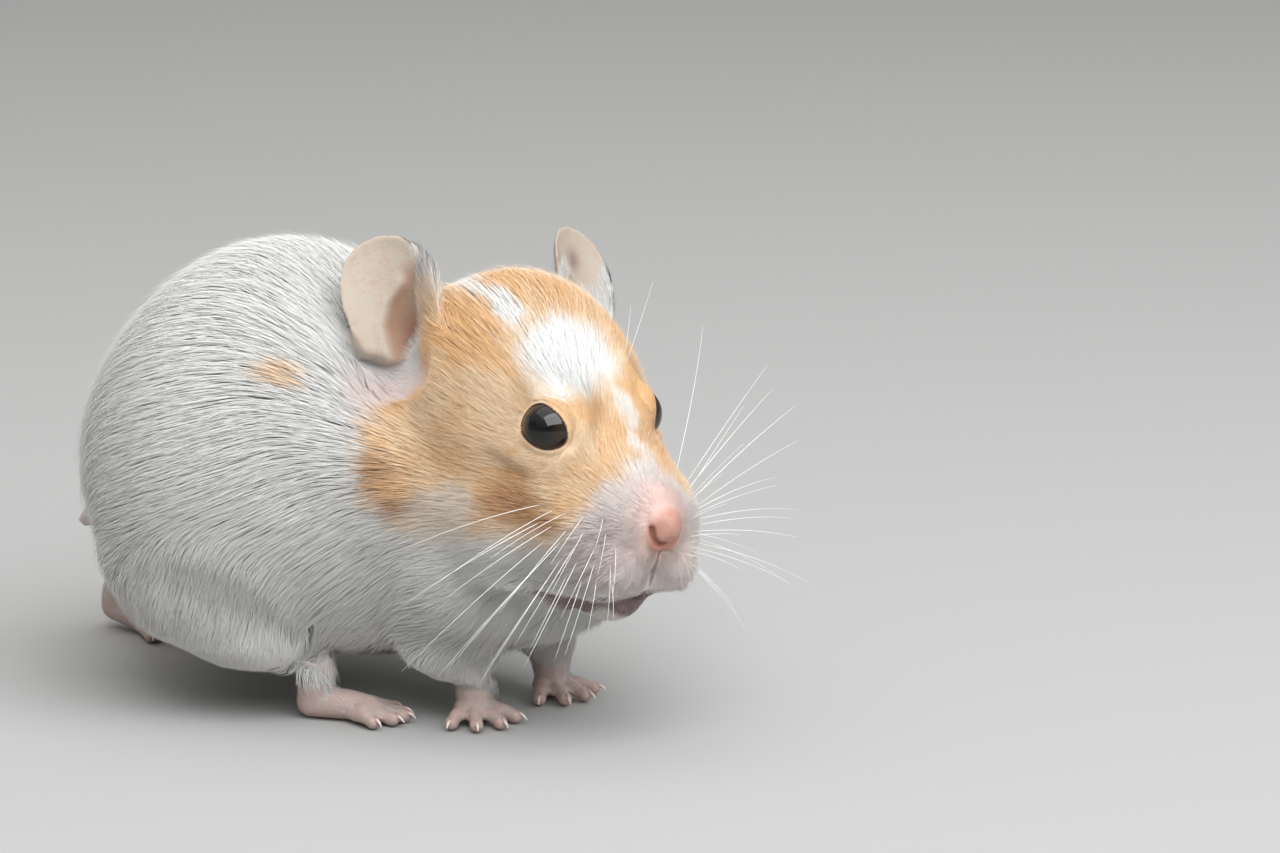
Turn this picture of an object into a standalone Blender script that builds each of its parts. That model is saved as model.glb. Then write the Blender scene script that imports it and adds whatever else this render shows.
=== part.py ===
"""A life-size Syrian hamster in a slow walk, head turned to its right.

The outline is that of the coat. The animal is modelled whole and then parted by thin
cuts into head, neck, trunk, tail, legs and feet; ears and eyes are fitted to the head.
+X is forward along the trunk, +Y is the animal's left and +Z is up. All sizes below are
in millimetres; the origin ends up at the middle of the floor under the animal.
"""

import math

import bpy
import bmesh
from mathutils import Matrix, Vector

MM = 0.001
GAP = 0.3  # between neighbouring pieces

# Trunk: distance along X, height of the widest line, half width, rise above it, drop below it.
# The shoulders sway to the left as the head turns right.
TRUNK_ENDS = (-62.4, 19.0)
TRUNK_STATIONS = (
    (-57.0, 30.5, 15.5, 15.5, 13.5),
    (-47.0, 30.0, 24.5, 26.0, 21.0),
    (-35.0, 30.0, 27.5, 30.3, 23.5),
    (-23.0, 30.0, 25.5, 27.0, 24.5),
    (-11.0, 30.0, 21.0, 18.5, 23.0),
    (0.0, 29.0, 18.5, 14.0, 20.5),
    (9.0, 28.0, 15.0, 12.0, 16.5),
)
TRUNK_SWAY = ((-60.0, 0.5), (-36.0, -0.5), (-22.0, 1.5), (-8.0, 4.0), (8.0, 4.0))

# Head: a frame between the eyes, turned to the right and pitched down along the skull.
EYES_MIDDLE = (11.7, -0.4, 40.8)
HEAD_TURN = math.radians(-22.0)
HEAD_ROLL = math.radians(-3.0)
SKULL_PITCH = math.radians(23.0)
# Distance along the skull from the middle of the eyes, offset above it, half width, rise, drop.
SKULL_ENDS = (-32.0, 18.6)
SKULL_STATIONS = (
    (-25.0, -8.0, 15.0, 15.5, 12.0),
    (-17.0, -8.0, 16.5, 18.6, 13.0),
    (-9.0, -9.0, 17.4, 18.2, 16.0),
    (0.0, -9.5, 14.8, 14.8, 15.0),
    (6.5, -8.5, 11.4, 9.6, 12.0),
    (12.0, -7.6, 8.6, 7.4, 9.6),
    (16.0, -7.2, 6.6, 5.6, 7.4),
)
EYE_RADIUS = 3.2
EYE_CENTRE = (0.5, 8.3, -0.1)

# Ears: cupped discs of skin whose inner edge is set in the head, in the eyes' frame.
EAR_CENTRE = {"right": (-22.3, -15.0, 11.6), "left": (-21.8, 14.2, 10.8)}
EAR_HEIGHT = 20.5
EAR_WIDTH = 16.0
EAR_THICKNESS = 1.0
EAR_LEAN = (-0.34, 0.07, 0.93)  # from lobe to tip
EAR_FACING = {"right": (0.76, -0.65, 0.0), "left": (0.96, 0.28, 0.0)}  # out of the hollow
EAR_CURL = (0.16, 0.075)  # bend across the blade at its lobe and its tip, radians per mm

# Feet: the middle of the pad or the heel on the ground, the heading of the toes in degrees,
# the height at which the leg ends and how far ahead the leg is kept above that height.
WRIST_CUT = 5.4
FOREFEET = {
    "right": dict(pad=(-3.4, -4.1), heading=-41.0),
    "left": dict(pad=(-0.2, 11.0), heading=-25.0),
}
FORE_DIGITS = ((-40.0, 2.6), (-13.0, 3.5), (13.0, 3.5), (40.0, 2.7))  # splay, length
HINDFEET = {
    "right": dict(heel=(-24.4, -12.0), heading=13.0, heel_height=2.4, cut=6.6, clear=7.0),
    "left": dict(heel=(-71.6, 13.0), heading=-8.0, heel_height=3.4, cut=6.4, clear=18.0),
}
HINDLEG_CELLS = {  # middle, radii and pitch of the rounded cut at the top of each hind leg
    "right": ((-34.0, -18.5, 16.0), (14.0, 13.0, 15.0), 25.0),
    "left": ((-61.0, 16.5, 15.0), (17.0, 12.0, 11.5), -25.0),
}
HIND_DIGITS = ((-34.0, 2.2), (-13.0, 3.2), (1.0, 3.5), (15.0, 3.2), (36.0, 2.2))
TOE_RADIUS = (1.45, 1.2)
CLAW_RADIUS = 0.42
SOLE_PRESS = 0.4  # how far the pads would reach below the ground if they weren't flat

# Grain of the surfaces: voxel, passes of smoothing and triangles kept.
BODY_VOXEL = 0.6
BODY_SMOOTHING = 24
BODY_TRIANGLES = 2750
FOOT_VOXEL = 0.28
FOOT_SMOOTHING = 2
FOREFOOT_TRIANGLES = 400
HINDFOOT_TRIANGLES = 420

# Coat of each region as a plain paint: colour and roughness.
WHITE_COAT = ((0.80, 0.77, 0.73), 0.75)
GOLDEN_COAT = ((0.72, 0.42, 0.21), 0.75)
EAR_SKIN = ((0.72, 0.55, 0.45), 0.55)
PINK_SKIN = ((0.74, 0.44, 0.38), 0.5)
NOSE_SKIN = ((0.78, 0.40, 0.34), 0.4)
LIP_SKIN = ((0.36, 0.20, 0.20), 0.5)
EYE_BLACK = ((0.012, 0.010, 0.010), 0.06)


def clear_scene():
    for obj in list(bpy.data.objects):
        bpy.data.objects.remove(obj, do_unlink=True)


def paint(name, finish):
    colour, roughness = finish
    material = bpy.data.materials.new(name)
    material.use_nodes = True
    shader = material.node_tree.nodes["Principled BSDF"]
    shader.inputs["Base Color"].default_value = (*colour, 1.0)
    shader.inputs["Roughness"].default_value = roughness
    shader.inputs["Metallic"].default_value = 0.0
    return material


def add_object(name, mesh):
    obj = bpy.data.objects.new(name, mesh)
    bpy.context.scene.collection.objects.link(obj)
    return obj


def curve_value(points, x):
    """The height at x of a smooth curve through points, each a pair (x, height)."""
    if x <= points[0][0]:
        return points[0][1]
    for i in range(len(points) - 1):
        (x0, y0), (x1, y1) = points[i], points[i + 1]
        if x > x1:
            continue
        before = points[max(i - 1, 0)]
        after = points[min(i + 2, len(points) - 1)]
        slope0 = (y1 - before[1]) / (x1 - before[0])
        slope1 = (after[1] - y0) / (after[0] - x0)
        span = x1 - x0
        t = (x - x0) / span
        return (
            (2 * t**3 - 3 * t**2 + 1) * y0
            + (t**3 - 2 * t**2 + t) * span * slope0
            + (3 * t**2 - 2 * t**3) * y1
            + (t**3 - t**2) * span * slope1
        )
    return points[-1][1]


def stationed_form(ends, stations, frame, sway=((0.0, 0.0),)):
    """A round-ended body: a sphere stretched between ends, with its true sizes at each station."""
    middle = (ends[0] + ends[1]) / 2
    reach = (ends[1] - ends[0]) / 2

    def roundness(along):
        return math.sqrt(max(1 - ((along - middle) / reach) ** 2, 0.0))

    heights = [(station[0], station[1]) for station in stations]
    sizes = [
        [(station[0], station[k] / roundness(station[0])) for station in stations]
        for k in (2, 3, 4)
    ]
    bm = bmesh.new()
    bmesh.ops.create_uvsphere(bm, u_segments=48, v_segments=40, radius=1.0)
    bmesh.ops.rotate(bm, verts=bm.verts, matrix=Matrix.Rotation(math.pi / 2, 3, "Y"))
    for vert in bm.verts:
        along = middle + reach * vert.co.x
        side, rise = vert.co.y, vert.co.z
        vertical = sizes[1] if rise > 0 else sizes[2]
        vert.co = Vector(
            (
                along,
                curve_value(sway, along) + side * curve_value(sizes[0], along),
                curve_value(heights, along) + rise * curve_value(vertical, along),
            )
        )
    bmesh.ops.transform(bm, verts=bm.verts, matrix=frame)
    return bm


def blob(centre, radii, frame=Matrix(), turn=(0.0, 0.0, 0.0), segments=20):
    """An ellipsoid, turned in degrees about its own X, Y and Z."""
    bm = bmesh.new()
    bmesh.ops.create_uvsphere(bm, u_segments=segments, v_segments=segments // 2, radius=1.0)
    angles = [math.radians(angle) for angle in turn]
    rotation = Matrix.Rotation(angles[2], 4, "Z") @ Matrix.Rotation(angles[1], 4, "Y")
    rotation = rotation @ Matrix.Rotation(angles[0], 4, "X")
    place = frame @ Matrix.Translation(centre) @ rotation @ Matrix.Diagonal((*radii, 1.0))
    bmesh.ops.transform(bm, verts=bm.verts, matrix=place)
    return bm


def limb(points, radii, frame=Matrix(), spacing=0.45):
    """Close-set balls along a smooth line through points, which a remesh makes one limb."""
    distances = [0.0]
    for a, b in zip(points, points[1:]):
        distances.append(distances[-1] + (Vector(b) - Vector(a)).length)
    tracks = [[(d, point[k]) for d, point in zip(distances, points)] for k in range(3)]
    sizes = list(zip(distances, radii))
    parts = []
    travelled = 0.0
    while travelled <= distances[-1]:
        radius = curve_value(sizes, travelled)
        centre = [curve_value(track, travelled) for track in tracks]
        parts.append(blob(centre, (radius, radius, radius), frame, segments=14))
        travelled += spacing * radius
    return parts


def joined(parts):
    bm = bmesh.new()
    for part in parts:
        mesh = bpy.data.meshes.new("part")
        part.to_mesh(mesh)
        part.free()
        bm.from_mesh(mesh)
        bpy.data.meshes.remove(mesh)
    bmesh.ops.scale(bm, verts=bm.verts, vec=(MM, MM, MM))
    return bm


def object_of(name, bm):
    mesh = bpy.data.meshes.new(name)
    bm.to_mesh(mesh)
    bm.free()
    return add_object(name, mesh)


def apply_modifiers(obj):
    bpy.context.view_layer.update()
    evaluated = obj.evaluated_get(bpy.context.evaluated_depsgraph_get())
    mesh = bpy.data.meshes.new_from_object(evaluated)
    obj.modifiers.clear()
    old = obj.data
    obj.data = mesh
    bpy.data.meshes.remove(old)


def fused(name, parts, voxel, smoothing, triangles):
    """The parts swelled into one smooth surface."""
    obj = object_of(name, joined(parts))
    remesh = obj.modifiers.new("Fuse", "REMESH")
    remesh.mode = "VOXEL"
    remesh.voxel_size = voxel * MM
    smooth = obj.modifiers.new("Smooth", "SMOOTH")
    smooth.factor = 0.5
    smooth.iterations = smoothing
    apply_modifiers(obj)
    thin = obj.modifiers.new("Thin", "DECIMATE")
    thin.ratio = triangles / (2 * len(obj.data.polygons))
    thin.use_collapse_triangulate = True
    apply_modifiers(obj)
    return obj


def boolean(obj, cutter, operation):
    change = obj.modifiers.new("Cut", "BOOLEAN")
    change.operation = operation
    change.solver = "EXACT"
    change.object = cutter
    apply_modifiers(obj)


def copy_of(obj, name):
    return add_object(name, obj.data.copy())


def discard(obj):
    bpy.data.objects.remove(obj, do_unlink=True)


def part_off(body, name, cell):
    """Parts the piece inside cell(0) from the body, leaving GAP all round it."""
    piece = copy_of(body, name)
    inner = object_of(name + "_cell", joined(cell(0.0)))
    outer = object_of(name + "_room", joined(cell(GAP)))
    boolean(piece, inner, "INTERSECT")
    boolean(body, outer, "DIFFERENCE")
    discard(inner)
    discard(outer)
    return piece


def seat_in(obj, shape):
    """Hollows the object out for a piece whose shape, already grown by GAP, is given."""
    cutter = object_of("seat", joined([shape]))
    boolean(obj, cutter, "DIFFERENCE")
    discard(cutter)


def box(low, high, frame=Matrix()):
    bm = bmesh.new()
    bmesh.ops.create_cube(bm, size=1.0)
    size = [b - a for a, b in zip(low, high)]
    middle = [(a + b) / 2 for a, b in zip(low, high)]
    place = frame @ Matrix.Translation(middle) @ Matrix.Diagonal((*size, 1.0))
    bmesh.ops.transform(bm, verts=bm.verts, matrix=place)
    return bm


def head_frame():
    turn = Matrix.Rotation(HEAD_TURN, 4, "Z") @ Matrix.Rotation(HEAD_ROLL, 4, "X")
    return Matrix.Translation(EYES_MIDDLE) @ turn


def skull_frame():
    return head_frame() @ Matrix.Rotation(SKULL_PITCH, 4, "Y")


def head_parts():
    face = head_frame()
    parts = [stationed_form(SKULL_ENDS, SKULL_STATIONS, skull_frame())]
    for side in (-1, 1):
        # cheek and pouch, brow, side of the muzzle, whisker pad
        parts.append(blob((-8.0, side * 9.5, -13.0), (12.5, 8.0, 10.5), face, (0, 18, 0)))
        parts.append(blob((-1.6, side * 5.2, 0.8), (7.5, 4.0, 4.0), face, (0, 24, 0)))
        parts.append(blob((2.5, side * 6.4, -12.5), (9.5, 6.0, 8.4), face, (0, 30, side * 14)))
        parts.append(blob((8.0, side * 4.4, -16.2), (6.6, 4.9, 5.6), face, (0, 25, side * 14)))
    parts.append(blob((4.5, 0.0, -20.0), (8.0, 5.6, 5.2), face, (0, 12, 0)))  # chin
    parts.append(blob((13.2, 0.0, -10.8), (3.2, 2.8, 3.0), face, (0, 35, 0)))  # nose
    return parts


def trunk_parts():
    parts = [stationed_form(TRUNK_ENDS, TRUNK_STATIONS, Matrix(), TRUNK_SWAY)]
    for side in (-1, 1):
        parts.append(blob((-39.0, side * 13.0, 22.0), (15.0, 13.5, 14.5)))  # haunch
        parts.append(blob((-5.0, 3.0 + side * 9.5, 22.0), (11.0, 9.5, 12.5)))  # shoulder
    parts += limb([(-58, 0.5, 22), (-64, 0.5, 20.5), (-67.5, 0.5, 18)], (3.2, 2.2, 1.5))  # tail
    return parts


def leg_parts():
    parts = []
    for side, foot in FOREFEET.items():
        out = -1 if side == "right" else 1
        x, y = foot["pad"]
        shoulder = (x - 2.0, y + 2.5 * out, 21.0)
        elbow = (x - 4.5, y + 3.0 * out, 13.0)
        parts += limb([shoulder, elbow, (x - 1.4, y + 0.6, 7.0), (x - 1.0, y, 4.0)], (8, 6, 4.2, 3.6))
    parts += limb([(-38, -15, 20), (-30, -14, 13), (-25.5, -12.6, 8), (-23.6, -12, 4)], (12, 8.5, 5.2, 3.4))
    parts += limb([(-46, 12, 20), (-54, 12.4, 14), (-62, 12.8, 9), (-69.4, 13, 5)], (11, 7, 4.2, 3))
    return parts


def toe(base, splay, length, lift, frame):
    """One digit with its claw, from its knuckle forwards and down to the ground."""
    turn = frame @ Matrix.Translation((*base, 0.0)) @ Matrix.Rotation(math.radians(splay), 4, "Z")
    thick, thin = TOE_RADIUS
    parts = limb(
        [(-1.5, 0, lift), (0.4 * length, 0, lift + 0.1), (length, 0, thin + 0.05)],
        (thick, thick, thin),
        turn,
        0.4,
    )
    parts += limb(
        [(length, 0, thin + 0.5), (length + 1.2, 0, thin + 0.2), (length + 1.7, 0, CLAW_RADIUS)],
        (CLAW_RADIUS * 1.3, CLAW_RADIUS * 1.1, CLAW_RADIUS),
        turn,
        0.5,
    )
    return parts


def footed(name, parts, cut, triangles):
    """Fuses a foot, flattens it on the ground and cuts it off level at its top."""
    foot = fused(name, parts, FOOT_VOXEL, FOOT_SMOOTHING, triangles)
    keep = object_of(name + "_keep", joined([box((-200, -200, 0), (200, 200, cut))]))
    boolean(foot, keep, "INTERSECT")
    discard(keep)
    return foot


def forefoot(side):
    foot = FOREFEET[side]
    heading = Matrix.Rotation(math.radians(foot["heading"]), 4, "Z")
    frame = Matrix.Translation((*foot["pad"], -SOLE_PRESS)) @ heading
    parts = [blob((-0.4, 0.0, 2.1), (3.2, 3.5, 2.1), frame)]
    parts += limb([(-1.3, 0, 8), (-1.1, 0, 4.6), (-0.6, 0, 2.6)], (3.4, 3.2, 2.6), frame)
    for splay, length in FORE_DIGITS:
        base = (1.3 - abs(splay) * 0.025, splay * 0.062)
        parts += toe(base, splay, length, 1.7, frame)
    return footed("forefoot_" + side, parts, WRIST_CUT, FOREFOOT_TRIANGLES)


def hindfoot(side):
    foot = HINDFEET[side]
    heading = Matrix.Rotation(math.radians(foot["heading"]), 4, "Z")
    frame = Matrix.Translation((*foot["heel"], -SOLE_PRESS)) @ heading
    heel = foot["heel_height"]
    parts = limb(
        [(1.2, 0, foot["cut"] + 2), (0.6, 0, heel + 2.4), (0.8, 0, heel), (5.5, 0, 2.4), (9, 0, 2.0)],
        (3.5, 3.2, 2.5, 2.5, 2.1),
        frame,
    )
    parts.append(blob((8.2, 0.0, 1.9), (3.4, 3.2, 1.9), frame))
    for splay, length in HIND_DIGITS:
        base = (9.6 - abs(splay) * 0.035, splay * 0.068)
        parts += toe(base, splay, length, 1.6, frame)
    return footed("hindfoot_" + side, parts, foot["cut"], HINDFOOT_TRIANGLES)


def ear_blade(side, extra):
    """A disc a little thinner at its rim, narrowed at the lobe and curled about its length."""
    out = -1 if side == "right" else 1
    up = Vector((EAR_LEAN[0], out * EAR_LEAN[1], EAR_LEAN[2])).normalized()
    facing = Vector(EAR_FACING[side])
    facing = (facing - up * facing.dot(up)).normalized()
    across = up.cross(facing)
    centre = Vector(EAR_CENTRE[side])
    bm = bmesh.new()
    bmesh.ops.create_uvsphere(bm, u_segments=18, v_segments=10, radius=1.0)
    for vert in bm.verts:
        x, y, z = vert.co
        rim = min(math.hypot(x, y), 1.0)
        thickness = (EAR_THICKNESS / 2 + extra) * math.copysign(math.sqrt(1 - rim**6), z)
        width = (EAR_WIDTH / 2 + extra) * (0.86 + 0.14 * y)
        curl = EAR_CURL[0] + (EAR_CURL[1] - EAR_CURL[0]) * (y + 1) / 2
        angle = x * width * curl
        reach = 1 / curl - thickness
        vert.co = (
            centre
            + up * (y * (EAR_HEIGHT / 2 + extra))
            + across * (math.sin(angle) * reach)
            + facing * (1 / curl - math.cos(angle) * reach)
        )
    bmesh.ops.transform(bm, verts=bm.verts, matrix=head_frame())
    bmesh.ops.recalc_face_normals(bm, faces=bm.faces)
    return bm


def eye_ball(side, radius):
    out = -1 if side == "right" else 1
    centre = (EYE_CENTRE[0], out * EYE_CENTRE[1], EYE_CENTRE[2])
    return blob(centre, (radius, radius, radius), head_frame(), segments=16)


def head_cell(extra):
    """Everything ahead of a plane from the nape down to the throat."""
    return [behind_plane(-13.0 - extra, 60.0)]


def neck_cell(extra):
    return [behind_plane(-20.0 - extra, 40.0)]


def behind_plane(distance, reach):
    across = Matrix.Rotation(math.radians(-34.0), 4, "Y")
    return box((distance, -40.0, -60.0), (distance + reach, 40.0, 60.0), head_frame() @ across)


def nose_cell(extra):
    radii = (3.4 + extra, 3.0 + extra, 3.1 + extra)
    return [blob((14.2, 0.0, -11.4), radii, head_frame(), (0, 35, 0), 14)]


def jaw_cell(extra):
    frame = head_frame() @ Matrix.Translation((-3.0, 0.0, -20.0)) @ Matrix.Rotation(0.04, 4, "Y")
    return [box((-extra, -14.0, -14.0), (25.0, 14.0, extra), frame)]


def foreleg_cell(side):
    x, y = FOREFEET[side]["pad"]
    out = -1 if side == "right" else 1
    centre = (x - 4.0, y + 1.5 * out, 12.5)

    def cell(extra):
        return [blob(centre, (8.6 + extra, 6.6 + extra, 10.0 + extra), segments=14)]

    return cell


def hindleg_cell(side):
    centre, radii, pitch = HINDLEG_CELLS[side]

    def cell(extra):
        grown = [radius + extra for radius in radii]
        return [blob(centre, grown, Matrix(), (0, pitch, 0), 16)]

    return cell


def tail_cell(extra):
    return [blob((-66.5, 0.5, 20.0), (6.0 + extra, 3.6 + extra, 4.4 + extra), Matrix(), (0, 20, 0), 14)]


def keep_largest(obj):
    """Drops the slivers that a cut leaves beside the piece itself."""
    bm = bmesh.new()
    bm.from_mesh(obj.data)
    islands = []
    unseen = set(bm.verts)
    while unseen:
        island = set()
        front = [unseen.pop()]
        while front:
            vert = front.pop()
            island.add(vert)
            for edge in vert.link_edges:
                other = edge.other_vert(vert)
                if other in unseen:
                    unseen.remove(other)
                    front.append(other)
        islands.append(island)
    islands.sort(key=len)
    for island in islands[:-1]:
        bmesh.ops.delete(bm, geom=list(island), context="VERTS")
    bm.to_mesh(obj.data)
    bm.free()


def stand_on_origin(pieces):
    """Moves the animal so that the middle of its box is over the origin."""
    corners = [vert.co for piece in pieces for vert in piece.data.vertices]
    low = Vector([min(corner[k] for corner in corners) for k in range(3)])
    high = Vector([max(corner[k] for corner in corners) for k in range(3)])
    shift = Vector(((low.x + high.x) / -2, (low.y + high.y) / -2, -low.z))
    for piece in pieces:
        piece.data.transform(Matrix.Translation(shift))
    print("moved by", " ".join(str(round(value / MM, 3)) for value in shift))


def main():
    clear_scene()
    coat = paint("coat", WHITE_COAT)
    golden = paint("golden_coat", GOLDEN_COAT)
    pink = paint("pink_skin", PINK_SKIN)
    nose = paint("nose_skin", NOSE_SKIN)
    lip = paint("lip_skin", LIP_SKIN)
    ear_skin = paint("ear_skin", EAR_SKIN)
    eye_black = paint("eye_black", EYE_BLACK)
    parts = trunk_parts() + head_parts() + leg_parts()
    body = fused("trunk", parts, BODY_VOXEL, BODY_SMOOTHING, BODY_TRIANGLES)

    for side, foot in list(FOREFEET.items()) + list(HINDFEET.items()):
        x, y = foot.get("pad") or foot["heel"]
        cut = foot.get("cut", WRIST_CUT)
        clear = foot.get("clear", 7.0)
        seat_in(body, box((x - 9.0, y - 7.0, -5.0), (x + clear, y + 7.0, cut + GAP)))

    pieces = {"trunk": body}
    for side in ("right", "left"):
        pieces["foreleg_" + side] = part_off(body, "foreleg_" + side, foreleg_cell(side))
        pieces["hindleg_" + side] = part_off(body, "hindleg_" + side, hindleg_cell(side))
        pieces["forefoot_" + side] = forefoot(side)
        pieces["hindfoot_" + side] = hindfoot(side)
    pieces["tail"] = part_off(body, "tail", tail_cell)
    pieces["head"] = head = part_off(body, "head", head_cell)
    pieces["neck"] = part_off(body, "neck", neck_cell)
    pieces["nose"] = part_off(head, "nose", nose_cell)
    pieces["lower_jaw"] = part_off(head, "lower_jaw", jaw_cell)
    for side in ("right", "left"):
        pieces["eye_" + side] = object_of("eye_" + side, joined([eye_ball(side, EYE_RADIUS)]))
        pieces["ear_" + side] = object_of("ear_" + side, joined([ear_blade(side, 0.0)]))
        seat_in(head, eye_ball(side, EYE_RADIUS + GAP))
        for neighbour in (head, pieces["neck"], body):
            seat_in(neighbour, ear_blade(side, GAP))
    for name in ("head", "neck", "trunk"):
        keep_largest(pieces[name])

    finishes = {"nose": nose, "lower_jaw": lip, "head": golden, "tail": pink}
    for name, piece in pieces.items():
        kind = name.split("_")[0]
        finish = {"ear": ear_skin, "eye": eye_black, "forefoot": pink, "hindfoot": pink}.get(kind)
        piece.data.materials.clear()
        piece.data.materials.append(finish or finishes.get(name, coat))
    stand_on_origin(pieces.values())


main()
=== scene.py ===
# A life-size Syrian hamster: one skin over the frame's flesh, a coat of fine tufts, whiskers, eyes and claws.
import math

import bmesh
import bpy
import numpy as np
from mathutils import Matrix, Vector
from mathutils.bvhtree import BVHTree
from mathutils.kdtree import KDTree


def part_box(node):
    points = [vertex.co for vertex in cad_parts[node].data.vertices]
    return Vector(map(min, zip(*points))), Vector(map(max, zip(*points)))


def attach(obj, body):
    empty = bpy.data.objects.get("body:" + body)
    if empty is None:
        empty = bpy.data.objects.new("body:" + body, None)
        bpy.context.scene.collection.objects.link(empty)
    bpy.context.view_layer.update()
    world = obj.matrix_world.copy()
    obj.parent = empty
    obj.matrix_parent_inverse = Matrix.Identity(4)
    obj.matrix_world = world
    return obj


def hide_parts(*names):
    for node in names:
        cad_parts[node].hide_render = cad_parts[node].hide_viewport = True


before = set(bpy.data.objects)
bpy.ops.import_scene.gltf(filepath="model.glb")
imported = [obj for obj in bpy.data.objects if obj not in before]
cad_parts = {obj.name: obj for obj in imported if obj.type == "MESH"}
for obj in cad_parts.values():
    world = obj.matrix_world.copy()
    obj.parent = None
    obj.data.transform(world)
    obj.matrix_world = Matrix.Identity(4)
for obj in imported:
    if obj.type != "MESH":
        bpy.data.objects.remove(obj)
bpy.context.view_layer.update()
mm = 0.001
random = np.random.default_rng(7)
# mm: the head's origin lies this far forward and up from between the eyes, and the stance's this far from it
origins = {"head": (-0.5, 0.1), "stance": (11.7, -0.4, 40.8)}
noseTip = Vector((15.3, 0.0, -11.5))
midline = 0.6  # the muzzle's middle, to the left of the head's


def middleOf(node):
    low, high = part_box(node)
    return (low + high) / 2


def headPlacement():
    # X forward, Y to the animal's left, Z up, in millimetres from a point between the eyes
    right, left = middleOf("eye_right"), middleOf("eye_left")
    side = (left - right).normalized()
    forward = side.cross(Vector((0, 0, 1))).normalized()
    up = forward.cross(side)
    placement = Matrix((forward, side, up)).transposed().to_4x4()
    placement.translation = (left + right) / 2 + (up * origins["head"][1] + forward * origins["head"][0]) * mm
    return placement


headPlace = headPlacement()
headTurn = np.array(headPlace)[:3, :3]  # its columns are the head's axes
headToWorld = headPlace @ Matrix.Scale(mm, 4)
worldToHead = headToWorld.inverted()
# the stance has millimetres of its own, measured along the world's axes from a point on the ground
stancePlace = Matrix.Translation(headPlace.translation - Vector(origins["stance"]) * mm)
stanceToWorld = stancePlace @ Matrix.Scale(mm, 4)
worldToStance = stanceToWorld.inverted()


def transformed(points, matrix):
    matrix = np.array(matrix)
    return points @ matrix[:3, :3].T + matrix[:3, 3]


def unit(vectors):
    return vectors / np.maximum(np.linalg.norm(vectors, axis=-1, keepdims=True), 1e-12)


def tangential(vectors, normals):
    return unit(vectors - normals * (vectors * normals).sum(axis=1, keepdims=True))


def smoothStep(value, low, high):
    t = np.clip((value - low) / (high - low), 0, 1)
    return t * t * (3 - 2 * t)


def nearness(points, centre, radii):
    # 1 at the centre and fading over the radii
    return np.exp(-(((points - np.array(centre)) / np.array(radii)) ** 2).sum(axis=-1))


def ellipsoidReach(points, centre, radii):
    # 0 at the centre and 1 on the surface
    return np.linalg.norm((points - np.array(centre)) / np.array(radii), axis=1)


def mirrored(line):
    return [(x, 2 * midline - y, z) for x, y, z in line]


def distanceToLine(points, line):
    # how far each point lies from a line through several points
    best = np.full(len(points), np.inf)
    for start, end in zip(line, line[1:]):
        start, span = np.array(start, float), np.subtract(end, start)
        share = np.clip(((points - start) @ span) / (span @ span), 0, 1)
        best = np.minimum(best, np.linalg.norm(points - start - share[:, None] * span, axis=1))
    return best


def distanceToPair(points, line):
    # how far each point lies from a line or from its mirror image on the muzzle's other side
    return np.minimum(distanceToLine(points, line), distanceToLine(points, mirrored(line)))


def addObject(name, mesh):
    obj = bpy.data.objects.new(name, mesh)
    bpy.context.scene.collection.objects.link(obj)
    return obj


def applyModifiers(obj):
    bpy.context.view_layer.update()
    evaluated = obj.evaluated_get(bpy.context.evaluated_depsgraph_get())
    mesh = bpy.data.meshes.new_from_object(evaluated)
    obj.modifiers.clear()
    old, obj.data = obj.data, mesh
    bpy.data.meshes.remove(old)


def meshFrom(bm, name):
    mesh = bpy.data.meshes.new(name)
    bm.to_mesh(mesh)
    bm.free()
    return mesh


def arrayOf(items, field, width, kind=np.float32):
    values = np.empty(len(items) * width, kind)
    items.foreach_get(field, values)
    return values.reshape(-1, width)


def pointsOf(mesh):
    return arrayOf(mesh.vertices, "co", 3).astype(float)


def normalsOf(mesh):
    return arrayOf(mesh.vertices, "normal", 3).astype(float)


def edgesOf(mesh):
    return arrayOf(mesh.edges, "vertices", 2, np.int32)


def triangleCorners(mesh):
    return arrayOf(mesh.polygons, "vertices", 3, np.int32)


def attributeOf(mesh, name):
    return arrayOf(mesh.attributes[name].data, "value", 1).astype(float)[:, 0]


def setAttribute(mesh, name, values, kind="FLOAT"):
    field = {"FLOAT": "value", "FLOAT_VECTOR": "vector", "FLOAT_COLOR": "color"}[kind]
    attribute = mesh.attributes.new(name, kind, "POINT")
    attribute.data.foreach_set(field, np.asarray(values, np.float32).ravel())


def setPoints(mesh, points):
    mesh.vertices.foreach_set("co", points.astype(np.float32).ravel())
    mesh.update()


def surfaceOf(mesh):
    return BVHTree.FromPolygons(pointsOf(mesh).tolist(), triangleCorners(mesh).tolist())


def spread(values, edges, passes):
    # evens values out over the mesh, each vertex taking its neighbours' mean
    count = len(values)
    ends = np.concatenate([edges[:, 0], edges[:, 1]])
    others = np.concatenate([edges[:, 1], edges[:, 0]])
    degree = np.maximum(np.bincount(ends, minlength=count), 1)
    columns = values.reshape(count, -1).T.copy()
    for _ in range(passes):
        for k in range(len(columns)):
            mean = np.bincount(ends, weights=columns[k][others], minlength=count) / degree
            columns[k] = 0.4 * columns[k] + 0.6 * mean
    return columns.T.reshape(values.shape)


def addNode(tree, kind, inputs, **settings):
    node = tree.nodes.new("ShaderNode" + kind)
    for name, value in settings.items():
        setattr(node, name, value)
    for name, value in inputs.items():
        if isinstance(value, bpy.types.NodeSocket):
            tree.links.new(value, node.inputs[name])
        else:
            node.inputs[name].default_value = value
    return node


def mathOf(tree, operation, a, b=0.0):
    return addNode(tree, "Math", {0: a, 1: b}, operation=operation).outputs[0]


def times(tree, a, b):
    return mathOf(tree, "MULTIPLY", a, b)


def noiseOf(tree, place, scale, detail):
    return addNode(tree, "TexNoise", {"Vector": place, "Scale": scale, "Detail": detail}).outputs["Fac"]


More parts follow.
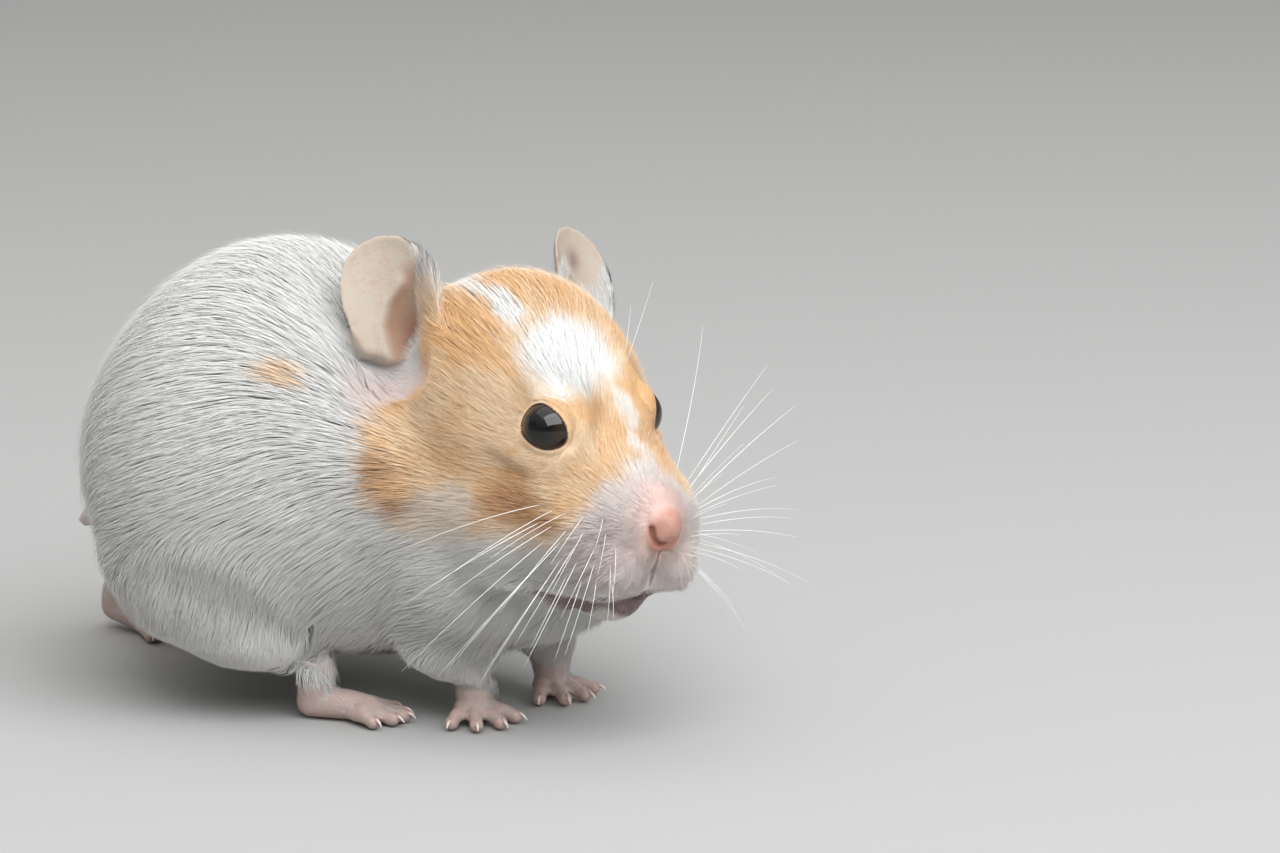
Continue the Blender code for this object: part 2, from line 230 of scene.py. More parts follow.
def readAttribute(tree, name, output="Fac"):
    return addNode(tree, "Attribute", {}, attribute_name=name).outputs[output]


def vectorOf(tree, operation, a, b=(0, 0, 0)):
    return addNode(tree, "VectorMath", {0: a, 1: b}, operation=operation).outputs[0]


def ramp(tree, value, low, high):
    # 0 at low, 1 at high and smooth between
    inputs = {"Value": value, "From Min": low, "From Max": high}
    return addNode(tree, "MapRange", inputs, interpolation_type="SMOOTHSTEP").outputs["Result"]


def ramp01(tree, value, low, high, first=0.0, last=1.0):
    # first at low, last at high and straight between
    inputs = {"Value": value, "From Min": low, "From Max": high, "To Min": first, "To Max": last}
    return addNode(tree, "MapRange", inputs).outputs["Result"]


def softSpot(tree, place, centre, radii, edge=0.25):
    # 1 inside an ellipsoid, 0 outside it
    offset = vectorOf(tree, "DIVIDE", vectorOf(tree, "SUBTRACT", place, centre), radii)
    size = addNode(tree, "VectorMath", {0: offset}, operation="LENGTH").outputs["Value"]
    return ramp(tree, size, 1 + edge, 1 - edge)


def anyOf(tree, masks):
    result = masks[0]
    for mask in masks[1:]:
        result = mathOf(tree, "MAXIMUM", result, mask)
    return result


def mixed(tree, share, first, second):
    node = addNode(tree, "Mix", {"Factor": share}, data_type="RGBA")
    for socket, value in ((node.inputs[6], first), (node.inputs[7], second)):
        if isinstance(value, bpy.types.NodeSocket):
            tree.links.new(value, socket)
        else:
            socket.default_value = (*value[:3], 1)
    return node.outputs[2]


def newGroup(name, inputs, outputs):
    tree = bpy.data.node_groups.new(name, "ShaderNodeTree")
    for direction, sockets in (("INPUT", inputs), ("OUTPUT", outputs)):
        for socketName, kind in sockets.items():
            tree.interface.new_socket(socketName, in_out=direction, socket_type="NodeSocket" + kind)
    return tree, tree.nodes.new("NodeGroupInput"), tree.nodes.new("NodeGroupOutput")


def newMaterial(name, uniform):
    material = bpy.data.materials.new(name)
    material.use_nodes = True
    shader = material.node_tree.nodes["Principled BSDF"]
    for socketName, value in uniform.items():
        shader.inputs[socketName].default_value = value
    return material, material.node_tree, shader


studio = {
    "turn": 28.0, "rise": 13.0, "distance": 0.6, "lens": 135.0,  # degrees, degrees, metres, mm
    "aim": (20.2, -3.8, 41.6),  # in the stance's millimetres
    "lamps": {  # place in metres, width and height in metres, watts, colour
        "windowLight": ((0.45, -0.28, 0.66), (1.05, 0.72), 11.0, (0.93, 0.965, 1.0)),
        "skyLight": ((-0.06, -0.06, 0.90), (1.0, 1.0), 3.2, (1.0, 0.99, 0.97)),
    },
    "lampAim": (0, 0, 0.03),
    "horizon": (0.42, 0.42, 0.42), "zenith": (1.0, 1.0, 1.0), "skyStrength": 0.56,
    "floorHalf": 1.6, "floorFlat": 0.9, "floorCurve": 0.8, "floorDrop": 0.0002,  # metres
    "paper": {"Base Color": (0.40, 0.395, 0.385, 1), "Roughness": 0.9},
}


def addCamera():
    turn, rise = math.radians(studio["turn"]), math.radians(studio["rise"])
    back = Vector((math.sin(turn) * math.cos(rise), -math.cos(turn) * math.cos(rise), math.sin(rise)))
    cameraData = bpy.data.cameras.new("camera")
    cameraData.lens = studio["lens"]
    cameraData.sensor_width = 36
    cameraData.clip_start = 0.01
    camera = addObject("camera", cameraData)
    camera.location = stanceToWorld @ Vector(studio["aim"]) + back * studio["distance"]
    camera.rotation_mode = "QUATERNION"
    camera.rotation_quaternion = (-back).to_track_quat("-Z", "Y")
    bpy.context.scene.camera = camera


def addLight():
    for name, (place, size, power, colour) in studio["lamps"].items():
        lampData = bpy.data.lights.new(name, "AREA")
        lampData.shape = "RECTANGLE"
        lampData.size, lampData.size_y = size
        lampData.energy = power
        lampData.color = colour
        lamp = addObject(name, lampData)
        lamp.location = place
        lamp.rotation_euler = (Vector(place) - Vector(studio["lampAim"])).to_track_quat("Z", "Y").to_euler()
    world = bpy.data.worlds.new("studio")
    bpy.context.scene.world = world
    world.use_nodes = True
    tree = world.node_tree
    direction = addNode(tree, "TexCoord", {}).outputs["Generated"]
    height = addNode(tree, "SeparateXYZ", {0: direction}).outputs[2]
    sky = mixed(tree, ramp(tree, height, 0.0, 0.8), studio["horizon"], studio["zenith"])
    tree.links.new(sky, tree.nodes["Background"].inputs["Color"])
    tree.nodes["Background"].inputs["Strength"].default_value = studio["skyStrength"]
    bpy.context.scene.view_settings.view_transform = "Standard"


def addFloor():
    bm = bmesh.new()
    bmesh.ops.create_grid(bm, x_segments=40, y_segments=40, size=studio["floorHalf"])
    for vert in bm.verts:  # the floor rises softly far away
        beyond = max(vert.co.xy.length - studio["floorFlat"], 0)
        vert.co.z = -studio["floorDrop"] + studio["floorCurve"] * beyond**2
    mesh = meshFrom(bm, "floor")
    mesh.shade_smooth()
    mesh.materials.append(newMaterial("palePaper", studio["paper"])[0])
    floor = addObject("floor", mesh)


markings = {
    "white": (0.86, 0.85, 0.82),
    # the same white fur painted darker on the trunk: painted shade
    "shadedBodyWhite": (0.71, 0.695, 0.665),
    "cream": (0.94, 0.69, 0.45),
    "gold": (0.88, 0.51, 0.235),
    "deepGold": (0.79, 0.41, 0.17),
    "brown": (0.46, 0.22, 0.10),
    "blush": (0.66, 0.46, 0.41),
    "mauve": (0.34, 0.24, 0.23),
    "streak": (0.10, 0.085, 0.085),
    "raggedness": 2.4,  # mm that a border wanders
    # distance behind or ahead of the eyes, then the height of the golden mask's lower border
    "lowerBorder": (
        (-20, 1.0), (-17.8, -5.5), (-13.8, -11.0), (-8.7, -14.2),
        (0.6, -13.0), (8.0, -13.2), (11, -7.5), (13, 2),
    ),
    "borderFade": (-2.0, 2.2),
    "ends": ((0.16, -18.5, -16.2), (-0.1, 12.0, 9.6)),  # slope, where the mask starts and where it is full
    "blaze": (  # white spots: middle, radii and strength
        ((-1.0, -2.2, 7.4), (4.6, 6.6, 7.0), 1.0),
        ((-18.0, -5.2, 15.8), (5.0, 1.1, 4.0), 1.0),
        ((-12.0, -6.4, 14.9), (4.4, 1.2, 4.0), 1.0),
        ((-8.0, -5.9, 12.6), (3.6, 1.7, 4.0), 1.0),
        ((4.6, 2.6, 1.4), (3.8, 1.2, 4.0), 0.75),
        ((8.4, 2.0, -3.0), (3.4, 1.1, 3.4), 0.8),
        ((11.8, -0.4, -5.6), (3.4, 2.2, 3.0), 0.9),
        ((-19.4, -10.4, 16.8), (3.6, 4.2, 4.6), 1.0),
        ((-18.2, 7.5, 12.5), (6.0, 9.5, 8.0), 0.95),
        ((-5.2, -18.0, -11.4), (5.0, 6.0, 3.6), 0.6),
    ),
    # where the white fur is painted lighter, round the head: painted light
    "litHeadPart": ((1.0, 0.0, 6.0), (17.0, 15.0, 14.0)),
    "whiskerPads": (((10.2, -7.0, -14.4), (4.6, 4.0, 4.2), 0.75), ((10.6, 8.0, -14.4), (4.6, 4.0, 4.2), 0.3)),
    "streaks": (((-20.9, -13.3, 18.4), (1.2, 1.3, 2.8), 0.85), ((-19.3, -13.1, 15.8), (1.1, 1.2, 2.2), 0.85)),
    "darkSpots": (
        ((-14.4, -22.6, -7.6), (2.6, 5.0, 2.6)),
        ((-11.0, -20.5, -11.4), (2.8, 5.0, 1.5)),
        ((2.4, -13.0, -9.6), (4.4, 4.5, 2.4)),
        ((6.6, -12.0, -11.4), (2.6, 4.0, 1.6)),
        ((-16.2, -19.5, 1.2), (1.3, 3.0, 3.0)),
        ((-12.0, 22.0, -8.0), (4.0, 5.0, 2.6)),
    ),
    "richSpots": (
        ((-10.5, -11.0, 11.0), (7.0, 5.0, 4.0)),
        ((-7.6, 1.6, 13.6), (3.6, 5.0, 3.0)),
        ((-9.0, 12.0, 9.0), (7.0, 5.0, 5.0)),
        ((6.0, 6.5, -3.0), (4.0, 3.0, 6.0)),
    ),
    "paleSpots": (
        ((-7.0, -17.0, -2.5), (6.5, 6.0, 4.2)),
        ((4.0, -9.0, 4.6), (3.4, 3.4, 2.6)),
        ((-5.0, -17.5, -8.0), (4.6, 5.0, 4.0)),
    ),
    "shades": (("cream", "paleSpots", 0.5), ("deepGold", "richSpots", 0.5), ("brown", "darkSpots", 0.85)),
    "shoulderSpot": ((-23.3, -28.2, 3.3), (3.6, 4.0, 1.8), 0.7),
    "blushSpots": (  # middle, radii and strength
        ((14.0, 0.0, -12.0), (8.5, 10.0, 8.5), 0.42),
        ((15.0, 0.6, -10.2), (4.6, 4.6, 5.6), 0.85),
        ((-19.0, -18.0, 2.0), (4.0, 4.0, 4.6), 0.55),
    ),
}


def spotsOf(tree, place, spots, edge):
    # the strongest of several soft spots
    masks = [times(tree, softSpot(tree, place, centre, radii, edge), share) for centre, radii, share in spots]
    return anyOf(tree, masks)


def goldenMask(tree, place):
    # above a curved lower border, ahead of the ears and behind the muzzle, with a spot on the shoulder
    border = markings["lowerBorder"]
    first, last = border[0][0], border[-1][0]
    bottom, top = -20.0, 20.0
    parts = addNode(tree, "SeparateXYZ", {0: place}).outputs
    curve = addNode(tree, "FloatCurve", {"Value": ramp01(tree, parts[0], first, last)})
    track = curve.mapping.curves[0]
    for _ in range(len(border) - 2):
        track.points.new(0.5, 0.5)
    for point, (x, z) in zip(track.points, border):
        point.location = ((x - first) / (last - first), (z - bottom) / (top - bottom))
    curve.mapping.update()
    height = ramp01(tree, curve.outputs[0], 0.0, 1.0, bottom, top)
    golden = ramp(tree, mathOf(tree, "SUBTRACT", parts[2], height), *markings["borderFade"])
    for slope, start, full in markings["ends"]:
        leaning = mathOf(tree, "ADD", parts[0], times(tree, parts[2], slope))
        golden = times(tree, golden, ramp(tree, leaning, start, full))
    golden = anyOf(tree, [golden, spotsOf(tree, place, [markings["shoulderSpot"]], 0.25)])
    return times(tree, golden, mathOf(tree, "SUBTRACT", 1.0, spotsOf(tree, place, markings["blaze"], 0.32)))


def goldShades(tree, inHead, place):
    mottle = noiseOf(tree, inHead, 0.16, 3.0)
    gold = mixed(tree, ramp(tree, mottle, 0.38, 0.64), markings["cream"], markings["gold"])
    fleck = noiseOf(tree, inHead, 0.9, 3.0)
    gold = mixed(tree, ramp01(tree, fleck, 0.5, 0.72, 0.0, 0.6), gold, markings["deepGold"])
    gold = mixed(tree, ramp01(tree, fleck, 0.5, 0.28, 0.0, 0.5), gold, markings["cream"])
    for shade, spots, strength in markings["shades"]:
        mask = spotsOf(tree, place, [(*spot, strength) for spot in markings[spots]], 0.5)
        gold = mixed(tree, mask, gold, markings[shade])
    return gold


def whiteShades(tree, inHead):
    # the white fur is painted lighter on the head and darker on the trunk: painted light and shade
    litHead = softSpot(tree, inHead, *markings["litHeadPart"], 0.4)
    white = mixed(tree, litHead, markings["shadedBodyWhite"], markings["white"])
    for spot in markings["blushSpots"]:
        white = mixed(tree, spotsOf(tree, inHead, [spot], 0.4), white, markings["blush"])
    speckle = ramp(tree, noiseOf(tree, inHead, 1.3, 2.0), 0.44, 0.58)
    pads = times(tree, spotsOf(tree, inHead, markings["whiskerPads"], 0.5), speckle)
    return mixed(tree, pads, white, markings["mauve"])


def buildMarkings():
    # shared by skin and coat, and laid out in the head's millimetres
    outputs = {"Color": "Color", "Golden": "Float", "Streaks": "Float"}
    tree, entry, leave = newGroup("coatMarkings", {"Place": "Vector"}, outputs)
    inputs = {
        "Vector": entry.outputs["Place"], "Location": headPlace.translation, "Rotation": headPlace.to_euler(),
        "Scale": (mm, mm, mm),
    }
    inHead = addNode(tree, "Mapping", inputs, vector_type="TEXTURE").outputs[0]
    wander = addNode(tree, "TexNoise", {"Vector": inHead, "Scale": 0.32, "Detail": 4.0, "Roughness": 0.62})
    shift = vectorOf(tree, "SUBTRACT", wander.outputs["Color"], (0.5, 0.5, 0.5))
    strength = 2 * markings["raggedness"]
    shift = vectorOf(tree, "MULTIPLY", shift, (strength, strength, strength))
    place = vectorOf(tree, "ADD", inHead, shift)
    golden = goldenMask(tree, place)
    colour = mixed(tree, golden, whiteShades(tree, inHead), goldShades(tree, inHead, place))
    fine = ramp(tree, noiseOf(tree, inHead, 3.4, 1.0), 0.46, 0.54)
    streaks = times(tree, spotsOf(tree, inHead, markings["streaks"], 0.5), fine)
    tree.links.new(colour, leave.inputs["Color"])
    tree.links.new(golden, leave.inputs["Golden"])
    tree.links.new(streaks, leave.inputs["Streaks"])
    return tree


skinFinish = {
    "Roughness": 0.55, "Specular IOR Level": 0.35,
    "Subsurface Weight": 0.15, "Subsurface Radius": (1.0, 0.35, 0.2), "Subsurface Scale": 0.0008,
}
skinMarks = {
    # the first colour is painted shade, for the skin seen between the tufts
    "shadeUnderCoat": (0.10, 0.07, 0.05), "vein": (0.42, 0.14, 0.11), "blotch": (0.42, 0.20, 0.15),
    "veinScale": 300.0, "blotchScale": 700.0, "grainScale": 2600.0, "cellScale": 2200.0, "relief": 0.28,
}


def skinMaterial(markingsGroup):
    material, tree, shader = newMaterial("skin", skinFinish)
    place = addNode(tree, "TexCoord", {}).outputs["Object"]
    marks = addNode(tree, "Group", {}, node_tree=markingsGroup)
    tree.links.new(place, marks.inputs["Place"])
    # the skin under the coat is painted darker as painted shade between the tufts, more under golden fur than
    # under white
    dark = ramp01(tree, marks.outputs["Golden"], 0.0, 1.0, 0.05, 0.26)
    covered = mixed(tree, dark, marks.outputs["Color"], skinMarks["shadeUnderCoat"])
    warped = noiseOf(tree, place, skinMarks["veinScale"], 2.0)
    vein = ramp(tree, mathOf(tree, "ABSOLUTE", mathOf(tree, "SUBTRACT", warped, 0.5)), 0.022, 0.0)
    tint = mixed(tree, times(tree, vein, 0.16), readAttribute(tree, "skinTint", "Color"), skinMarks["vein"])
    blotch = noiseOf(tree, place, skinMarks["blotchScale"], 3.0)
    tint = mixed(tree, ramp01(tree, blotch, 0.35, 0.7, 0.0, 0.14), tint, skinMarks["blotch"])
    colour = mixed(tree, readAttribute(tree, "bareness"), covered, tint)
    tree.links.new(colour, shader.inputs["Base Color"])
    grain = noiseOf(tree, place, skinMarks["grainScale"], 3.0)
    cells = addNode(tree, "TexVoronoi", {"Vector": place, "Scale": skinMarks["cellScale"]})
    relief = mathOf(tree, "ADD", grain, times(tree, cells.outputs["Distance"], 0.8))
    bump = addNode(tree, "Bump", {"Height": relief, "Strength": skinMarks["relief"], "Distance": 0.0001})
    tree.links.new(bump.outputs[0], shader.inputs["Normal"])
    return material


coatFinish = {"Roughness": 0.6, "Specular IOR Level": 0.25, "Sheen Weight": 0.15}


def coatMaterial(markingsGroup):
    material, tree, shader = newMaterial("coat", coatFinish)
    marks = addNode(tree, "Group", {}, node_tree=markingsGroup)
    tree.links.new(readAttribute(tree, "root", "Vector"), marks.inputs["Place"])
    shade, along = readAttribute(tree, "shade"), readAttribute(tree, "along")
    golden = marks.outputs["Golden"]
    # the tufts differ in value at random, and darken towards the root as painted shade, the golden ones more
    # than the white
    light = ramp01(tree, shade, 0.0, 1.0, ramp01(tree, golden, 0.0, 1.0, 0.95, 0.80), 1.03)
    deep = ramp01(tree, along, 0.0, 1.0, ramp01(tree, golden, 0.0, 1.0, 0.96, 0.80), 1.04)
    pale = times(tree, golden, ramp01(tree, shade, 0.7, 1.0, 0.0, 0.5))
    colour = mixed(tree, pale, marks.outputs["Color"], markings["cream"])
    # dark tips on a few golden tufts
    ticking = times(tree, golden, ramp01(tree, shade, 0.10, 0.04, 0.0, 0.6))
    colour = mixed(tree, times(tree, ticking, ramp(tree, along, 0.1, 0.7)), colour, markings["brown"])
    colour = mixed(tree, marks.outputs["Streaks"], colour, markings["streak"])
    lit = addNode(tree, "HueSaturation", {"Color": colour, "Value": times(tree, light, deep)})
    tree.links.new(lit.outputs["Color"], shader.inputs["Base Color"])
    return material


fleshNodes = [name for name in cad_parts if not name.startswith("eye")]
coatMeasures = ("depth", "length", "width", "density", "bareness")  # the columns of the table below
regions = {  # mm: depth of the coat, length and width of a tuft; tufts per square mm; share of bare skin
    "trunk": (2.1, 6.8, 0.165, 9.2, 0.0),
    "neck": (1.9, 5.2, 0.15, 11.5, 0.0),
    "head": (1.5, 3.2, 0.12, 38.0, 0.0),
    "muzzle": (0.4, 1.4, 0.085, 46.0, 0.2),
    "lower_jaw": (0.4, 1.4, 0.09, 24.0, 0.4),
    "nose": (0.0, 0.5, 0.05, 0.0, 1.0),
    "ear": (0.06, 0.5, 0.045, 0.0, 1.0),
    "fringe": (0.55, 3.0, 0.11, 30.0, 0.2),
    "foreleg": (1.2, 2.9, 0.14, 20.0, 0.0),
    "hindleg": (1.4, 3.4, 0.15, 17.0, 0.0),
    "wrist": (0.4, 1.4, 0.08, 44.0, 0.5),
    "forefoot": (0.14, 0.9, 0.055, 26.0, 0.8),
    "hindfoot": (0.14, 0.9, 0.055, 26.0, 0.8),
    "tail": (0.2, 0.8, 0.07, 34.0, 0.6),
    "web": (3.2, 5.4, 0.12, 28.0, 0.0),
    "lids": (0.3, 1.2, 0.075, 58.0, 0.0),
    "lip": (0.1, 1.1, 0.05, 7.0, 0.92),
    "short": (0.7, 1.9, 0.10, 40.0, 0.1),
    "bare": (0.0, 0.6, 0.06, 0.0, 1.0),
    "blush": (0.15, 0.8, 0.07, 16.0, 0.6),
}
skinSettings = {
    "voxel": 0.28, "swell": 0.24, "smoothing": 5, "triangles": 190000, "spreading": 100,
    "fineMuzzle": ((11.5, midline, -16.0), 9.5), "fineEyes": 5.4,  # mm: where the faces are halved
    "ankle": (8.6, 3.0), "anklePasses": 45,  # mm above the ground, and how far up and down the ankle reaches
}


eyeShape = {
    "radius": 3.4, "sink": 0.55, "corner": (1.0, 0.0, -0.40),
    "gaze": {"right": (0.40, -0.88, 0.27), "left": (0.26, 0.93, 0.27)},
    "shift": {"right": (0.5, 0.0, 0.1), "left": (-0.6, -0.6, 0.4)},
    "opening": 67.0, "narrowing": 21.0, "cornerReach": 7.0,  # degrees from the gaze to the edge of the lids
    "rim": 0.10, "lid": 0.36, "slope": 24.0,  # mm that the lids stand off the ball, degrees they take to rise
}
ears = {  # middle, from lobe to tip, and out of the hollow, in the head's millimetres
    "right": ((-22.3, -15.0, 11.6), (-0.34, -0.07, 0.93), (0.76, -0.65, 0.0)),
    "left": ((-21.8, 14.2, 10.8), (-0.34, 0.07, 0.93), (0.96, 0.28, 0.0)),
}
earShape = {  # mm
    "height": 20.5, "width": 16.0, "rim": 0.45, "lobe": {"right": 3.2, "left": 0.8},
    "bowl": 1.2, "bowlMiddle": (1.4, -3.2), "bowlRadii": (3.6, 5.0),
    "ridge": 0.6, "ridgeWidth": 0.9,
    "ridgeLine": [(1.6, 3.4, 0), (-0.8, 1.4, 0), (-2.2, -1.5, 0), (-2.2, -5.2, 0)],
}
nearNostril = [(14.8, -2.3, -11.0), (14.9, -2.1, -12.2), (14.9, -1.3, -13.1), (14.9, -0.3, -13.2)]
nearNoseEdge = [
    (14.2, -2.5, -9.2), (14.6, -2.9, -11.4), (14.2, -2.4, -13.6), (13.8, -0.8, -14.9), (13.7, midline, -15.3),
]
nearLip = [
    (12.0, midline, -20.0), (12.7, -2.8, -20.2), (12.2, -5.8, -20.3), (10.0, -8.0, -20.4), (6.4, -8.7, -20.9),
    (2.4, -8.4, -21.8),
]
philtrum = [(13.9, midline, -14.8), (13.2, midline, -16.2), (12.4, midline, -17.8), (12.1, midline, -19.8)]
grooves = [  # line, depth and width in mm
    (nearNostril, 1.1, 0.36), (mirrored(nearNostril), 1.1, 0.36),
    (nearNoseEdge, 0.22, 0.5), (mirrored(nearNoseEdge), 0.22, 0.5),
    (philtrum, 1.0, 0.6), (nearLip, 0.8, 0.6), (mirrored(nearLip), 0.8, 0.6),
]
swellings = [  # middle, radii and rise in mm, of the nose, the lip's pads, the chin and below each ear
    ((15.2, midline, -10.6), (2.2, 2.0, 2.2), 0.35),
    ((13.6, -2.6, -17.0), (3.0, 2.6, 3.0), 0.35), ((13.6, 3.8, -17.0), (3.0, 2.6, 3.0), 0.35),
    ((12.6, midline, -20.3), (1.2, 1.0, 1.0), -1.1),
    ((-19.5, -18.6, 4.6), (4.6, 4.6, 5.2), -3.8), ((-19.0, 17.6, 4.2), (4.4, 4.4, 5.0), -2.6),
]
jaw = {"back": 2.4, "in": 0.8, "below": -20.2, "from": 2.0, "to": 9.5}


def eyeFrame(side):
    # from the eye's own millimetres to the head's: X to the tear corner, Z out of the eye
    gaze = Vector(eyeShape["gaze"][side]).normalized()
    corner = Vector(eyeShape["corner"])
    corner = (corner - gaze * corner.dot(gaze)).normalized()
    matrix = Matrix((corner, gaze.cross(corner), gaze)).transposed().to_4x4()
    middle = worldToHead @ middleOf("eye_" + side) + Vector(eyeShape["shift"][side])
    matrix.translation = middle - gaze * eyeShape["sink"]
    return matrix


def earFrame(side):
    # from the ear's own millimetres to the head's: X towards the crown, Y to the tip, Z out of the hollow
    centre, up, facing = (Vector(value) for value in ears[side])
    up.normalize()
    facing = (facing - up * facing.dot(up)).normalized()
    crown = up.cross(facing) * (1 if side == "right" else -1)
    matrix = Matrix((crown, up, facing)).transposed().to_4x4()
    matrix.translation = centre
    return matrix


eyeFrames = {side: eyeFrame(side) for side in ("right", "left")}
earFrames = {side: earFrame(side) for side in ("right", "left")}


def lidsAt(inHead, side):
    # degrees that each point lies outside the lids' opening, its distance from the ball's middle, its place
    local = transformed(inHead, eyeFrames[side].inverted())
    distance = np.linalg.norm(local, axis=1)
    angle = np.degrees(np.arccos(np.clip(local[:, 2] / np.maximum(distance, 1e-6), -1, 1)))
    toCorner = local[:, 0] / np.maximum(np.linalg.norm(local[:, :2], axis=1), 1e-6)
    edge = eyeShape["opening"] - eyeShape["narrowing"] * (1 - toCorner**2)
    edge += eyeShape["cornerReach"] * np.clip(toCorner, 0, 1) ** 14
    return angle - edge, distance, local


def ballChain(bm, points, radii, place):
    # close-set balls along a line, which the remesh makes one limb
    points = [Vector(point) for point in points]
    for (start, end), (first, last) in zip(zip(points, points[1:]), zip(radii, radii[1:])):
        steps = max(2, round((end - start).length / (0.3 * min(first, last))))
        for k in range(steps + 1):
            share = k / steps
            centre = place @ start.lerp(end, share)
            radius = first + (last - first) * share
            bmesh.ops.create_icosphere(bm, subdivisions=2, radius=radius, matrix=Matrix.Translation(centre))


feet = {  # in the stance's millimetres: the pad or heel, and the heading of the toes in degrees
    "forefoot_right": ((-3.4, -4.1), -41.0),
    "forefoot_left": ((-0.2, 11.0), -25.0),
    "hindfoot_right": ((-24.4, -12.0), 13.0),
    "hindfoot_left": ((-71.6, 13.0), -8.0),
}
heels = {"hindfoot_right": (2.4, 8.6), "hindfoot_left": (3.4, 8.4)}  # height of the heel and of the leg's end
soleDrop = 0.4  # the soles are pressed flat by this much
footShapes = {  # mm: points and radii of the chains of balls, splay in degrees and length of the digits
    "fore": {
        "chains": (
            ([(-1.3, 0, 8), (-1.1, 0, 4.6), (-0.6, 0, 2.9)], (3.1, 2.8, 2.3)),
            ([(-0.8, -1.5, 2.0), (-0.8, 1.5, 2.0)], (1.7, 1.7)),
            ([(-2.6, 1.3, 1.2), (-2.2, 1.5, 1.2)], (0.9, 0.9)),
        ),
        "digits": ((-40.0, 2.6), (-13.0, 3.5), (13.0, 3.5), (40.0, 2.7)), "lift": 1.7,
        "knuckles": (1.3, 0.025, 0.066),  # how far ahead, and mm back and aside for each degree of splay
    },
    "hind": {
        "chains": (([(8.4, -1.6, 1.9), (8.4, 1.6, 1.9)], (1.6, 1.6)),),
        "digits": ((-34.0, 2.2), (-13.0, 3.2), (1.0, 3.5), (15.0, 3.2), (36.0, 2.2)), "lift": 1.6,
        "knuckles": (9.6, 0.035, 0.070),
    },
}


def footPlace(name):
    (x, y), heading = feet[name]
    return Matrix.Translation((x, y, -soleDrop)) @ Matrix.Rotation(math.radians(heading), 4, "Z")


def digits(name):
    # the place of each digit's root, its length and the height of its root
    shape = footShapes[name[:4]]
    ahead, back, aside = shape["knuckles"]
    for splay, length in shape["digits"]:
        turn = Matrix.Rotation(math.radians(splay), 4, "Z")
        base = Matrix.Translation((ahead - abs(splay) * back, splay * aside, 0))
        yield footPlace(name) @ base @ turn, length, shape["lift"]


def footForm(bm, name):
    place = footPlace(name)
    if name in heels:
        heel, top = heels[name]
        points = [(2.2, 0, top), (1.4, 0, heel + 2.6), (0.8, 0, heel), (5.5, 0, 2.3), (8.6, 0, 2.0)]
        ballChain(bm, points, (2.6, 2.6, 2.3, 2.2, 1.9), place)
    for points, radii in footShapes[name[:4]]["chains"]:
        ballChain(bm, points, radii, place)
    for turn, length, lift in digits(name):
        points = [
            (-1.6, 0, lift), (0.35 * length, 0, lift + 0.1), (0.7 * length, 0, lift - 0.2), (length, 0, 1.3),
        ]
        ballChain(bm, points, (1.25, 1.15, 0.98, 1.12), turn)
        ballChain(bm, [(length * 0.8, 0, 0.95), (length, 0, 0.95)], (0.8, 0.8), turn)


def swelled(bm, amount):
    bm.normal_update()
    for vert in bm.verts:
        vert.co += vert.normal * amount * mm
    return bm


def refine(mesh):
    # halves the faces round the eyes, the nose and the mouth
    inHead = transformed(pointsOf(mesh), worldToHead)
    middle, reach = skinSettings["fineMuzzle"]
    fine = np.linalg.norm(inHead - np.array(middle), axis=1) < reach
    for matrix in eyeFrames.values():
        fine |= np.linalg.norm(inHead - np.array(matrix.translation), axis=1) < skinSettings["fineEyes"]
    bm = bmesh.new()
    bm.from_mesh(mesh)
    bm.verts.ensure_lookup_table()
    edges = [edge for edge in bm.edges if fine[edge.verts[0].index] and fine[edge.verts[1].index]]
    bmesh.ops.subdivide_edges(bm, edges=edges, cuts=1, use_grid_fill=True)
    bm.to_mesh(mesh)
    bm.free()


def fleshForm():
    # the frame's flesh pieces, swelled until the thin cuts between them close, with finer feet, as one skin
    parts = []
    for name in fleshNodes:
        if name in feet:
            continue
        part = bmesh.new()
        part.from_mesh(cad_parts[name].data)
        bmesh.ops.remove_doubles(part, verts=part.verts, dist=1e-7)
        parts.append(swelled(part, skinSettings["swell"]))
    for name in feet:
        part = bmesh.new()
        footForm(part, name)
        bmesh.ops.transform(part, verts=part.verts, matrix=stanceToWorld)
        parts.append(part)
    for matrix in eyeFrames.values():  # the sockets are closed here and opened again as lids
        part = bmesh.new()
        place = headToWorld @ matrix
        bmesh.ops.create_icosphere(part, subdivisions=4, radius=eyeShape["radius"], matrix=place)
        parts.append(part)
    whole = bmesh.new()
    for part in parts:
        mesh = meshFrom(part, "part")
        whole.from_mesh(mesh)
        bpy.data.meshes.remove(mesh)
    skin = addObject("skin", meshFrom(whole, "skin"))
    remesh = skin.modifiers.new("oneSkin", "REMESH")
    remesh.mode = "VOXEL"
    remesh.voxel_size = skinSettings["voxel"] * mm
    smooth = skin.modifiers.new("smooth", "SMOOTH")
    smooth.iterations = skinSettings["smoothing"]
    applyModifiers(skin)
    refine(skin.data)
    return skin


def nearestNodes(points):
    # the flesh node that each point belongs to
    corners, faces, owners = [], [], []
    for name in fleshNodes:
        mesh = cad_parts[name].data
        start = len(corners)
        corners += [vert.co.copy() for vert in mesh.vertices]
        faces += [[start + v for v in polygon.vertices] for polygon in mesh.polygons]
        owners += [fleshNodes.index(name)] * len(mesh.polygons)
    tree = BVHTree.FromPolygons(corners, faces)
    return np.array([owners[tree.find_nearest(point)[2]] for point in points.tolist()])


def ownedBy(owners, *names):
    return np.isin(owners, [k for k, name in enumerate(fleshNodes) if name.startswith(names)])


def regionOf(name):
    return name if name in regions else name.split("_")[0]


